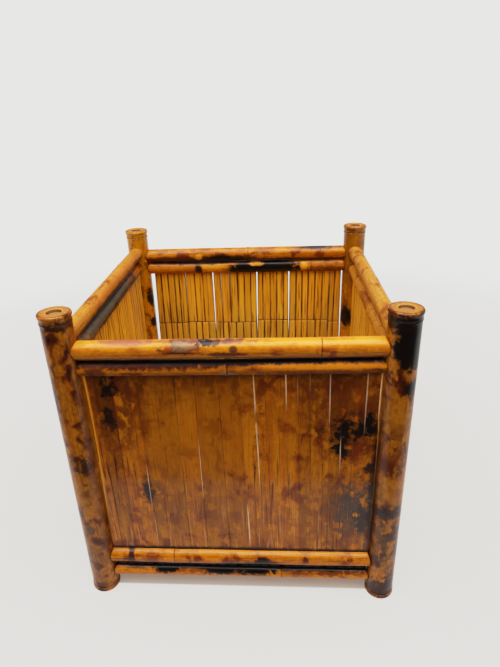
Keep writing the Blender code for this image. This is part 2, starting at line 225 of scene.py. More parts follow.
    def group(self, tree: bpy.types.NodeTree, **sockets: Value) -> bpy.types.NodeOutputs:
        """Place a shader node group.

        Args:
            tree: The group.
            sockets: Its inputs, with underscores for spaces.

        Returns:
            Its outputs.
        """
        node = self.add("ShaderNodeGroup", node_tree=tree)
        for name, value in sockets.items():
            self.feed(node.inputs[name.replace("_", " ")], value)
        return node.outputs

    def shape(self, kind: str, geometry: Value, **sockets: Value) -> Socket:
        """Add a node that changes a geometry, its inputs with underscores for spaces."""
        named = {name.replace("_", " "): value for name, value in sockets.items()}
        return self.out(f"GeometryNode{kind}", "Geometry", {"Geometry": geometry, **named})


SOCKETS = {
    float: "NodeSocketFloat",
    int: "NodeSocketInt",
    Vector: "NodeSocketVector",
    bpy.types.Material: "NodeSocketMaterial",
    bpy.types.Mesh: "NodeSocketGeometry",
}


def open_group(
    name: str, kind: str, takes: dict[str, type], gives: dict[str, type]
) -> tuple[bpy.types.NodeTree, Graph, bpy.types.NodeOutputs, bpy.types.NodeInputs]:
    """Start a node group with named sockets.

    Args:
        name: The group's name.
        kind: ShaderNodeTree or GeometryNodeTree.
        takes: Input name to its type.
        gives: Output name to its type.

    Returns:
        The tree, a graph on it, what it takes, and the sockets for what it gives.
    """
    tree = bpy.data.node_groups.new(name, kind)
    for way, sockets in (("INPUT", takes), ("OUTPUT", gives)):
        for socket, form in sockets.items():
            tree.interface.new_socket(socket, in_out=way, socket_type=SOCKETS[form])
    graph = Graph(tree)
    return tree, graph, graph.add("NodeGroupInput").outputs, graph.add("NodeGroupOutput").inputs


def run_tree(piece: bpy.types.Object, tree: bpy.types.NodeTree, **values: Value) -> None:
    """Run a geometry tree on an object and leave its result as a plain mesh.

    Args:
        piece: The object whose mesh the tree starts from.
        tree: The geometry tree.
        values: The tree's inputs, with underscores for spaces.
    """
    modifier = piece.modifiers.new(tree.name, "NODES")
    modifier.node_group = tree
    for item in tree.interface.items_tree:
        name = item.name.replace(" ", "_")
        if item.in_out == "INPUT" and name in values:
            modifier[item.identifier] = values[name]
    graph = bpy.context.evaluated_depsgraph_get()
    shaped = piece.evaluated_get(graph)
    mesh = bpy.data.meshes.new_from_object(shaped, preserve_all_data_layers=True, depsgraph=graph)
    rough = piece.data
    piece.modifiers.clear()
    piece.data = mesh
    mesh.name = piece.name
    bpy.data.meshes.remove(rough)


def place(piece: bpy.types.Object, where: Matrix) -> None:
    """Put a piece's mesh where a matrix says, with its faces still pointing out.

    Args:
        piece: The piece.
        where: From the piece's own axes to the row frame.
    """
    piece.data.transform(where)
    if where.determinant() < 0:
        piece.data.flip_normals()


def new_piece(name: str, points: Sequence[Point]) -> bpy.types.Object:
    """An object whose mesh holds loose points, for a geometry tree to start from.

    Args:
        name: The piece's name.
        points: The points.

    Returns:
        The object, linked to the scene.
    """
    mesh = bpy.data.meshes.new(name)
    mesh.from_pydata([tuple(point) for point in points], [], [])
    piece = bpy.data.objects.new(name, mesh)
    bpy.context.scene.collection.objects.link(piece)
    return piece


def dress(piece: bpy.types.Object, node: str) -> None:
    """Tie a finished piece to its CAD node, and report it.

    Args:
        piece: The piece.
        node: The CAD node that the piece stands for.
    """
    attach(piece, BODY)
    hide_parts(node)
    LOG.info("%s: %d faces for %s", piece.name, len(piece.data.polygons), node)


def seed_of(name: str) -> float:
    """A number from a name, the same in every run, that moves a pattern."""
    return random.Random(name).uniform(0.5, 9.5)


class Grain(Enum):
    """The way that the fibres of a piece run, as the stretch of its patterns along X, Y and Z."""

    ALONG_X = (0.045, 1.0, 1.0)
    ALONG_Y = (1.0, 0.045, 1.0)
    UPRIGHT = (1.0, 1.0, 0.045)

    @property
    def axis(self) -> int:
        """Index of the axis along the fibres."""
        return self.value.index(min(self.value))

    @property
    def soft(self) -> Point:
        """The slight stretch of clouds along the fibres."""
        return tuple(0.75 if value < 1.0 else 1.0 for value in self.value)


class Wall(Enum):
    """The four walls, each by its way outwards in X and Y."""

    FRONT = (0, -1)
    BACK = (0, 1)
    LEFT = (-1, 0)
    RIGHT = (1, 0)

    @property
    def grain(self) -> Grain:
        """The way that the wall's rails run."""
        return Grain.ALONG_Y if self.value[0] else Grain.ALONG_X

    @property
    def facing(self) -> Matrix:
        """Turn of the wall's own axes (across, in, along) into the row frame."""
        x, y = self.value
        return Matrix(((abs(y), -x, 0), (abs(x), -y, 0), (0, 0, 1))).to_4x4()


# Turn of the floor's own axes (across, in, along) into the row frame
FLOOR_FACING = Matrix(((1, 0, 0), (0, 0, 1), (0, 1, 0))).to_4x4()


@dataclass(frozen=True)
class BurnAndPaintedLight:
    """A soft-edged blob in millimetres: burnt and scraped places, and painted shade and highlights."""

    centre: Point
    size: Point
    colour: Colour = (0.006, 0.004, 0.004)
    ragged: float = 1.0
    edge: float = 0.35
    spots: float = 0.8
    strength: float = 1.0


def near(x: float, y: float, burns: Sequence[BurnAndPaintedLight]) -> tuple[BurnAndPaintedLight, ...]:
    """Burns that are given from an upright line, given from the origin instead.

    Args:
        x: Where the line stands, in metres.
        y: The same along Y.
        burns: The burns.

    Returns:
        The moved burns.
    """
    line = Vector((x, y, 0.0)) / MM
    return tuple(replace(burn, centre=tuple(Vector(burn.centre) + line)) for burn in burns)


@dataclass(frozen=True)
class Tone:
    """Colours and gloss of one kind of burnt bamboo.

    The torch leaves brown clouds where their noise passes `brown_from`, and char where it passes `char_from`.
    """

    gold: Colour
    amber: Colour
    brown: Colour
    char: Colour = (0.030, 0.010, 0.006)
    brown_from: float = 0.52
    char_from: float = 0.66
    softness: float = 0.07
    cloud_scale: float = 60.0
    spot_scale: float = 95.0
    streaks: float = 0.3
    roughness: float = 0.30
    coat: float = 0.6


@dataclass(frozen=True)
class CutEnd:
    """The sawn ends of a culm: where its axis stands, and the heights between which its side is skin.

    The pith ends at the radius `pith`, rust comes in over `mottled` and dirt over `grimy`. The edges blur by
    `soft` and waver by `uneven`.
    """

    axis: tuple[float, float]
    low: float
    high: float
    radius: float = 12.9 * MM
    pith: float = 6.5 * MM
    mottled: tuple[float, float] = (7.5 * MM, 9.0 * MM)
    grimy: tuple[float, float] = (11.6 * MM, 13.3 * MM)
    soft: float = 0.3 * MM
    uneven: float = 1.2 * MM
    straw: Colour = (0.30, 0.165, 0.055)
    amber: Colour = (0.42, 0.175, 0.036)
    lip: Colour = (0.66, 0.32, 0.075)
    # Rust brown of the end, and of the painted shade on the pit's wall
    rust_and_pit_shade: Colour = (0.17, 0.050, 0.008)

    @property
    def rings(self) -> tuple[tuple[float, float, float, Colour], ...]:
        """Rings of the pith's edge, by radius, width in metres, strength and colour; the first is painted pit
        shade.
        """
        return (5.95 * MM, 0.55 * MM, 0.9, self.rust_and_pit_shade), (7.0 * MM, 0.75 * MM, 0.7, self.lip)


class Shading:
    """Builds the shared shader groups once, and the materials that use them."""

    # Scales of the patterns
    FIBRES = 1400.0
    STREAKS = 260.0
    LINES = 520.0
    SPECKS = 330.0
    WOBBLES = 160.0
    TATTERS = 150.0
    DRIFT = 11.0
    PATCHES = 38.0
    # How far the spots are bent, in metres
    WOBBLE = 0.016
    # How much a spared spot takes off the clouds, and the blur of char's edge as a share of brown's
    SPARED = 0.16
    CHAR_SOFTNESS = 0.7
    # Gloss and relief
    SPECULAR = 0.25
    COAT_ROUGHNESS = 0.10
    CLOUD_ROUGHNESS = 0.15
    CUT_ROUGHNESS = 0.65
    CUT_COAT = 0.02
    RELIEF = 0.5 * MM
    RELIEF_STRENGTH = 0.4
    # The point from which the frayed fibres read the fibre pattern, so that they don't lie on the dark lines
    APART: Point = (0.31, 0.17, 0.0)
    RED_LINE: Colour = (0.075, 0.014, 0.003)
    NODE_LINE: Colour = (0.020, 0.007, 0.003)
    # Pale raw bamboo beside an open crack, brightened as painted light through the crack
    RAW_AND_LIGHT: Colour = (0.97, 0.76, 0.56)
    FRAYED: Colour = (0.56, 0.30, 0.12)
    # Heights between which the inner face turns from gold to amber, and the skin's frayed fibres die out
    WARM = (0.155, 0.235)
    FRAY = (0.06, 0.16)
    # Brightness left in the darkest seams of the skin
    SEAM = 0.50

    def __init__(self) -> None:
        """Build the groups."""
        self.fibre = self.fibre_group()
        self.clouds = self.cloud_group()
        self.burn = self.burn_and_light_group()
        self.ring = self.ring_group()

    def fibre_group(self) -> bpy.types.NodeTree:
        """Fine fibres, streaks and thin dark lines along the grain.

        Returns:
            The group.
        """
        takes = {"Vector": Vector, "Stretch": Vector}
        gives = {"Fibre": float, "Streak": float, "Line": float}
        tree, g, inputs, result = open_group("Bamboo Fibre", "ShaderNodeTree", takes, gives)
        along = g.vector("MULTIPLY", inputs["Vector"], inputs["Stretch"])
        g.feed(result["Fibre"], g.noise(along, self.FIBRES, 3.0, 0.6))
        g.feed(result["Streak"], g.noise(along, self.STREAKS, 2.0, 0.55, 0.2))
        g.feed(result["Line"], g.ramp(g.noise(along, self.LINES, 1.0, 0.5, 0.1), 0.58, 0.70))
        return tree

    def cloud_group(self) -> bpy.types.NodeTree:
        """Clouds left by the torch, and round amber spots that it spared.

        Returns:
            The group.
        """
        takes = {"Vector": Vector, "Seed": float, "Cloud Scale": float, "Spot Scale": float}
        gives = {"Cloud": float, "Grain": float, "Spots": float}
        tree, g, inputs, result = open_group("Heat Clouds", "ShaderNodeTree", takes, gives)
        moved = g.vector("ADD", inputs["Vector"], g.grey(inputs["Seed"]))
        g.feed(result["Cloud"], g.noise(moved, inputs["Cloud Scale"], 3.0, 0.52, 0.35))
        g.feed(result["Grain"], g.noise(moved, self.SPECKS, 3.0, 0.6))
        uneven = {"Vector": moved, "Scale": self.WOBBLES, "Detail": 3.0}
        wobble = g.out("ShaderNodeTexNoise", "Color", uneven)
        shift = g.vector("SCALE", g.vector("SUBTRACT", wobble, (0.5, 0.5, 0.5)), self.WOBBLE)
        bent = g.vector("ADD", moved, shift)
        cells = g.add("ShaderNodeTexVoronoi", {"Vector": bent, "Scale": inputs["Spot Scale"]})
        some = g.math("GREATER_THAN", g.separate(cells.outputs["Color"])[0], 0.35)
        blob = g.ramp(cells.outputs["Distance"], 0.18, 0.50, 1.0, 0.0)
        g.feed(result["Spots"], g.times(blob, some))
        return tree

    def burn_and_light_group(self) -> bpy.types.NodeTree:
        """Mask of one blob, for burnt places and for painted shade and light alike.

        Returns:
            The group.
        """
        takes = {"Vector": Vector, "Centre": Vector, "Size": Vector, "Ragged": float, "Edge": float}
        tree, g, inputs, result = open_group("Burn Patch", "ShaderNodeTree", takes, {"Mask": float})
        offset = g.vector("DIVIDE", g.vector("SUBTRACT", inputs["Vector"], inputs["Centre"]), inputs["Size"])
        reach = g.vector("LENGTH", offset, output="Value")
        noise = g.noise(inputs["Vector"], self.TATTERS, 5.0, 0.68, 0.4)
        torn = g.fused(g.minus(noise, 0.5), g.times(inputs["Ragged"], 2.2), reach)
        inner, outer = g.minus(1.0, inputs["Edge"]), g.plus(1.0, inputs["Edge"])
        g.feed(result["Mask"], g.ramp(torn, inner, outer, 1.0, 0.0))
        return tree

    @staticmethod
    def ring_group() -> bpy.types.NodeTree:
        """Masks of the dark line in a bamboo node and of the pale bloom under it.

        Returns:
            The group.
        """
        takes = {"Along": float, "Place": float, "Waver": float}
        gives = {"Line": float, "Bloom": float}
        tree, g, inputs, result = open_group("Node Line", "ShaderNodeTree", takes, gives)
        off = g.minus(inputs["Along"], inputs["Place"])
        off = g.fused(g.minus(inputs["Waver"], 0.5), 0.8 * MM, off)
        g.feed(result["Line"], g.ramp(g.math("ABSOLUTE", off), 0.15 * MM, 0.80 * MM, 1.0, 0.0))
        low = g.math("ABSOLUTE", g.plus(off, 1.9 * MM))
        g.feed(result["Bloom"], g.ramp(low, 0.3 * MM, 1.8 * MM, 1.0, 0.0))
        return tree

    @staticmethod
    def start(name: str) -> tuple[bpy.types.Material, Graph, bpy.types.NodeInputs, Socket]:
        """Start a material.

        Args:
            name: Its name.

        Returns:
            The material, a graph on it, its shader's inputs and the object coordinates.
        """
        material = bpy.data.materials.new(name)
        material.use_nodes = True
        graph = Graph(material.node_tree)
        shader = material.node_tree.nodes["Principled BSDF"]
        return material, graph, shader.inputs, graph.out("ShaderNodeTexCoord", "Object")

    def heat(self, g: Graph, where: Value, tone: Tone, grain: Grain, seed: float) -> dict[str, Any]:
        """Colour of burnt bamboo before its burns.

        Args:
            g: The material's graph.
            where: Object coordinates.
            tone: The colours.
            grain: The way of the fibres.
            seed: Moves the clouds.

        Returns:
            The colour under `colour`, and what the fibre and cloud groups give under their sockets' names.
        """
        fibre = g.group(self.fibre, Vector=where, Stretch=grain.value)
        drawn = g.vector("MULTIPLY", where, grain.soft)
        scales = {"Cloud_Scale": tone.cloud_scale, "Spot_Scale": tone.spot_scale}
        clouds = g.group(self.clouds, Vector=drawn, Seed=seed, **scales)
        light = g.blend(tone.streaks, clouds["Grain"], fibre["Streak"])
        colour = g.tint(g.ramp(light, 0.36, 0.64), tone.amber, tone.gold)
        cloud = g.minus(clouds["Cloud"], g.times(clouds["Spots"], self.SPARED))
        brown = g.ramp(cloud, tone.brown_from, tone.brown_from + tone.softness)
        char = g.ramp(cloud, tone.char_from, tone.char_from + tone.softness * self.CHAR_SOFTNESS)
        colour = g.tint(brown, colour, tone.brown)
        colour = g.tint(char, colour, tone.char)
        grouped = g.times(fibre["Line"], g.ramp(g.noise(where, self.DRIFT, 1.0), 0.42, 0.62, 0.25, 1.6))
        colour = g.tint(g.times(grouped, tone.streaks, clamp=True), colour, self.RED_LINE)
        shade = g.grey(g.ramp(fibre["Fibre"], 0.30, 0.70, 0.82, 1.12))
        colour = g.tint(1.0, colour, shade, "MULTIPLY")
        return {"colour": colour, **dict(fibre.items()), **dict(clouds.items())}

    def burnt(self, g: Graph, where: Value, colour: Value, spots: Value, burns: Sequence[BurnAndPaintedLight]) -> Socket:
        """Lay burns, and the painted shade and highlights given as burns, over a colour.

        Args:
            g: The material's graph.
            where: Object coordinates.
            colour: The colour.
            spots: The spots that the torch spared.
            burns: The burnt places, and places of painted shade, highlight and reflection.

        Returns:
            The new colour.
        """
        # Blobs are burns, painted shade, painted highlights and a painted reflection
        for burn in burns:
            centre, size = (tuple(part * MM for part in point) for point in (burn.centre, burn.size))
            shape = {"Centre": centre, "Size": size, "Ragged": burn.ragged, "Edge": burn.edge}
            mask = g.group(self.burn, Vector=where, **shape)["Mask"]
            mask = g.times(mask, g.minus(burn.strength, g.times(spots, burn.spots), clamp=True))
            colour = g.tint(mask, colour, burn.colour)
        return colour

    def finish(
        self, g: Graph, shader: bpy.types.NodeInputs, colour: Value, heat: dict[str, Any], tone: Tone
    ) -> None:
        """Set gloss and relief, and feed the colour.

        Args:
            g: The material's graph.
            shader: The shader's inputs.
            colour: The finished colour.
            heat: What the fibre and cloud groups give.
            tone: The gloss.
        """
        g.feed(shader["Base Color"], colour)
        dull = tone.roughness + self.CLOUD_ROUGHNESS
        g.feed(shader["Roughness"], g.ramp(heat["Cloud"], 0.3, 0.7, tone.roughness, dull))
        shader["Specular IOR Level"].default_value = self.SPECULAR
        shader["Coat Weight"].default_value = tone.coat
        shader["Coat Roughness"].default_value = self.COAT_ROUGHNESS
        relief = heat["Streak"]
        for name, share in (("Fibre", 0.3), ("Grain", 0.6), ("Cloud", 0.8)):
            relief = g.fused(heat[name], share, relief)
        bump = {"Height": relief, "Strength": self.RELIEF_STRENGTH, "Distance": self.RELIEF}
        g.feed(shader["Normal"], g.out("ShaderNodeBump", "Normal", bump))

    def cane(
        self,
        name: str,
        tone: Tone,
        grain: Grain,
        rings: Sequence[float] = (),
        burns: Sequence[BurnAndPaintedLight] = (),
        cut: CutEnd | None = None,
    ) -> bpy.types.Material:
        """Material of a turned piece.

        Args:
            name: The material's name.
            tone: The colours.
            grain: The way of the fibres.
            rings: Places of the nodes along the grain.
            burns: Burnt places, and places of painted shade, highlight and reflection.
            cut: The sawn ends, if they show.

        Returns:
            The material.
        """
        material, g, shader, where = self.start(name)
        heat = self.heat(g, where, tone, grain, seed_of(name))
        colour = self.burnt(g, where, heat["colour"], heat["Spots"], burns)
        along = g.separate(where)[grain.axis]
        for ring in rings:
            marks = g.group(self.ring, Along=along, Place=ring, Waver=heat["Cloud"])
            bright = g.ramp(g.separate(colour)[0], 0.03, 0.15, 0.0, 0.35)
            colour = g.tint(g.times(marks["Bloom"], bright), colour, tone.gold)
            dark = g.ramp(heat["Grain"], 0.3, 0.6, 0.25, 0.8)
            colour = g.tint(g.times(marks["Line"], dark), colour, self.NODE_LINE)
        if cut is None:
            self.finish(g, shader, colour, heat, tone)
            return material
        colour, face = self.sawn(g, where, heat, colour, cut)
        self.finish(g, shader, colour, heat, tone)
        g.feed(shader["Roughness"], g.ramp(face, 0.2, 0.8, tone.roughness, self.CUT_ROUGHNESS))
        g.feed(shader["Coat Weight"], g.ramp(face, 0.2, 0.8, tone.coat, self.CUT_COAT))
        return material

    @staticmethod
    def sawn(
        g: Graph, where: Value, heat: dict[str, Any], colour: Value, cut: CutEnd
    ) -> tuple[Socket, Socket]:
        """Lay the rings of a sawn end over a colour.

        Args:
            g: The material's graph.
            where: Object coordinates.
            heat: What the fibre and cloud groups give.
            colour: The colour of the skin.
            cut: The sawn ends.

        Returns:
            The colour with both ends, and the mask of the ends.
        """
        x, y, height = g.separate(where)
        off = g.combine(g.minus(x, cut.axis[0]), g.minus(y, cut.axis[1]))
        bare = g.vector("LENGTH", off, output="Value")
        radius = g.fused(heat["Grain"], cut.uneven, bare)
        end = g.tint(g.ramp(bare, cut.pith - cut.soft, cut.pith + cut.soft), cut.straw, cut.amber)
        for middle, width, share, tint in cut.rings:
            from_ring = g.math("ABSOLUTE", g.minus(bare, middle))
            end = g.tint(g.ramp(from_ring, 0.1 * MM, width, share, 0.0), end, tint)
        mottle = g.times(g.ramp(heat["Grain"], 0.45, 0.70, 0.0, 0.5), g.ramp(radius, *cut.mottled))
        end = g.tint(mottle, end, cut.rust_and_pit_shade)
        grime = g.times(g.ramp(radius, *cut.grimy), g.ramp(heat["Cloud"], 0.30, 0.60, 0.5, 1.0))
        end = g.tint(grime, end, cut.rust_and_pit_shade)
        above, below = g.math("GREATER_THAN", height, cut.high), g.math("LESS_THAN", height, cut.low)
        face = g.ramp(bare, cut.radius - cut.soft, cut.radius + cut.soft, 1.0, 0.0)
        face = g.times(face, g.plus(above, below))
        return g.tint(face, colour, end), face

    def strip(
        self,
        name: str,
        outer: Tone,
        inner: Tone,
        grain: Grain,
        burns: Sequence[BurnAndPaintedLight] = (),
        through: Sequence[BurnAndPaintedLight] = (),
        raw_and_light: float = 0.25,
    ) -> bpy.types.Material:
        """Material of split strips, which reads what the strip tree stored on the mesh.

        Args:
            name: The material's name.
            outer: Colours of the lacquered skin.
            inner: Colours of the inner face: char and painted shade in its grooves, gold low, amber near the
                top.
            grain: The way of the fibres.
            burns: Burnt places on the skin.
            through: Burnt places that go over both faces and the ends.
            raw_and_light: How much pale raw bamboo and painted light show beside an open crack.

        Returns:
            The material.
        """
        material, g, shader, where = self.start(name)
        inside, edge, rim, opened, own = (
            g.out("ShaderNodeAttribute", "Fac", attribute_name=attribute)
            for attribute in ("inside", "edge", "rim", "opened", "tone")
        )
        heat = self.heat(g, where, outer, grain, seed_of(name))
        skin = self.burnt(g, where, heat["colour"], heat["Spots"], burns)
        patch = g.noise(g.vector("MULTIPLY", where, grain.soft), self.PATCHES, 2.0, 0.6)
        shut = g.ramp(g.fused(own, 0.16, patch), 0.38, 0.62, self.SEAM, 1.0)
        line = g.ramp(edge, 0.15, 0.65, shut, 1.0)
        skin = g.tint(1.0, skin, g.combine(line, g.math("POWER", line, 1.4), line), "MULTIPLY")

        up = g.separate(where)[2]
        core = g.tint(g.ramp(up, *self.WARM), inner.gold, inner.amber)
        core = g.tint(g.ramp(heat["Streak"], 0.38, 0.66, 0.0, 0.6), core, inner.brown)
        core = g.tint(g.ramp(own, 0.45, 1.0, 0.0, 0.40), core, inner.brown)
        core = g.tint(g.times(heat["Line"], 0.5), core, inner.char)
        # Darker towards each strip's sides and ends: char, and painted shade in the grooves and under the
        # rails
        groove_char_and_shade = g.math("POWER", g.ramp(rim, 0.25, 1.70, 1.0, 0.0), 1.4)
        core = g.tint(g.times(groove_char_and_shade, g.ramp(patch, 0.35, 0.58, 0.45, 1.0)), core, inner.char)

        apart = g.vector("ADD", where, self.APART)
        pale = g.group(self.fibre, Vector=apart, Stretch=grain.value)["Line"]
        pale = g.times(pale, g.ramp(up, *self.FRAY, 0.45, 0.0))
        pale = g.times(pale, g.ramp(g.separate(skin)[0], 0.04, 0.16))
        skin = g.tint(pale, skin, self.FRAYED)
        colour = g.tint(inside, skin, core)
        colour = g.tint(1.0, colour, g.grey(g.ramp(own, 0.0, 1.0, 0.84, 1.14)), "MULTIPLY")
        # Pale raw bamboo beside an open crack, and painted light through the crack
        bare = g.times(opened, g.ramp(edge, 0.12, 0.52, raw_and_light, 0.0), clamp=True)
        colour = g.tint(bare, colour, self.RAW_AND_LIGHT)
        colour = self.burnt(g, where, colour, heat["Spots"], through)

        self.finish(g, shader, colour, heat, outer)
        g.feed(shader["Roughness"], g.blend(inside, outer.roughness, inner.roughness))
        g.feed(shader["Coat Weight"], g.ramp(inside, 0.3, 0.8, outer.coat, inner.coat))
        return material


class ShapeTree:
    """What both geometry trees share: the rolled grid that they start from, and the way they end."""

    @staticmethod
    def roll(g: Graph, sides: Value, rows: Value) -> tuple[Socket, ...]:
        """A flat grid, and where its points go on a tube.

        Args:
            g: The tree's graph.
            sides: How many sides the tube has.
            rows: How many rows of points.

        Returns:
            The grid, then for each point the number of its row, the last row, and its angle, cosine and sine.
        """
        size = {"Size X": 1.0, "Size Y": 1.0, "Vertices X": g.plus(sides, 1.0), "Vertices Y": rows}
        grid = g.out("GeometryNodeMeshGrid", "Mesh", size)
        across, upward, _ = g.separate(g.out("GeometryNodeInputPosition", "Position"))
        angle = g.times(g.plus(across, 0.5), math.tau)
        last = g.minus(rows, 1.0)
        row = g.math("ROUND", g.times(g.plus(upward, 0.5), last))
        return grid, row, last, angle, g.math("COSINE", angle), g.math("SINE", angle)

    @staticmethod
    def close(g: Graph, shape: Value, material: Value) -> Socket:
        """Smooth a shape, make its instances real and give it its material."""
        whole = g.shape("RealizeInstances", g.shape("SetShadeSmooth", shape, Shade_Smooth=True))
        return g.shape("SetMaterial", whole, Material=material)


class CaneTree(ShapeTree):
    """The tree that turns a profile of (radius, 0, along) points into a bamboo cane or culm."""

    TAKES = {
        "Profile": bpy.types.Mesh,
        "Sides": int,
        **dict.fromkeys(("Radius", "Ovalness", "Unevenness", "Taper", "Half Length"), float),
        **dict.fromkeys(("Bow", "Lean"), Vector),
        **dict.fromkeys(("Cope Radius", "Cope Reach", "Cope Blend", "Seed"), float),
        "Material": bpy.types.Material,
    }

    def __init__(self) -> None:
        """Build the tree."""
        gives = {"Cane": bpy.types.Mesh}
        self.tree, g, inputs, result = open_group("Turned Cane", "GeometryNodeTree", self.TAKES, gives)
        profile = inputs["Profile"]
        rows = g.out("GeometryNodeAttributeDomainSize", "Point Count", {"Geometry": profile})
        grid, row, _, angle, cosine, sine = self.roll(g, inputs["Sides"], rows)
        spot = g.out("GeometryNodeInputPosition", "Position")
        source = {"Geometry": profile, "Value": spot, "Index": row}
        point = g.out("GeometryNodeSampleIndex", "Value", source, data_type="FLOAT_VECTOR")
        radius, _, along = g.separate(point)

        low = g.vector("MULTIPLY", g.combine(cosine, sine, along), (0.9, 0.9, 22.0))
        lumps = g.minus(g.noise(g.vector("ADD", low, g.grey(inputs["Seed"])), 1.0, 2.0), 0.5)
        share = g.math("MINIMUM", g.over(radius, inputs["Radius"]), 1.0)
        lift = g.times(g.times(lumps, inputs["Unevenness"]), share)
        oval = g.math("COSINE", g.fused(angle, 2.0, inputs["Seed"]))
        squeeze = g.fused(oval, inputs["Ovalness"], 1.0)
        part = g.over(along, inputs["Half Length"])
        squeeze = g.fused(part, inputs["Taper"], squeeze)
        radius = g.fused(radius, squeeze, g.times(lift, 2.0))
        x, y = g.times(radius, cosine), g.times(radius, sine)

        cope, reach, blend = (inputs[f"Cope {name}"] for name in ("Radius", "Reach", "Blend"))
        free = g.minus(reach, cope)
        room = g.minus(g.math("POWER", cope, 2.0), g.math("POWER", y, 2.0))
        end = g.minus(reach, g.math("SQRT", g.math("MAXIMUM", room, 0.0)))
        start = g.minus(free, blend)
        weight = g.over(g.minus(g.math("ABSOLUTE", along), start), blend, clamp=True)
        height = g.fused(g.math("SIGN", along), g.times(g.minus(end, free), weight), along)

        bow = g.vector("SCALE", inputs["Bow"], g.minus(1.0, g.math("POWER", part, 2.0)))
        lean = g.vector("SCALE", inputs["Lean"], part)
        turned = g.vector("ADD", g.combine(x, y, height), g.vector("ADD", bow, lean))
        shaped = g.shape("SetPosition", grid, Position=turned)
        closed = g.shape("MergeByDistance", shaped, Distance=0.002 * MM)
        g.feed(result["Cane"], self.close(g, closed, inputs["Material"]))


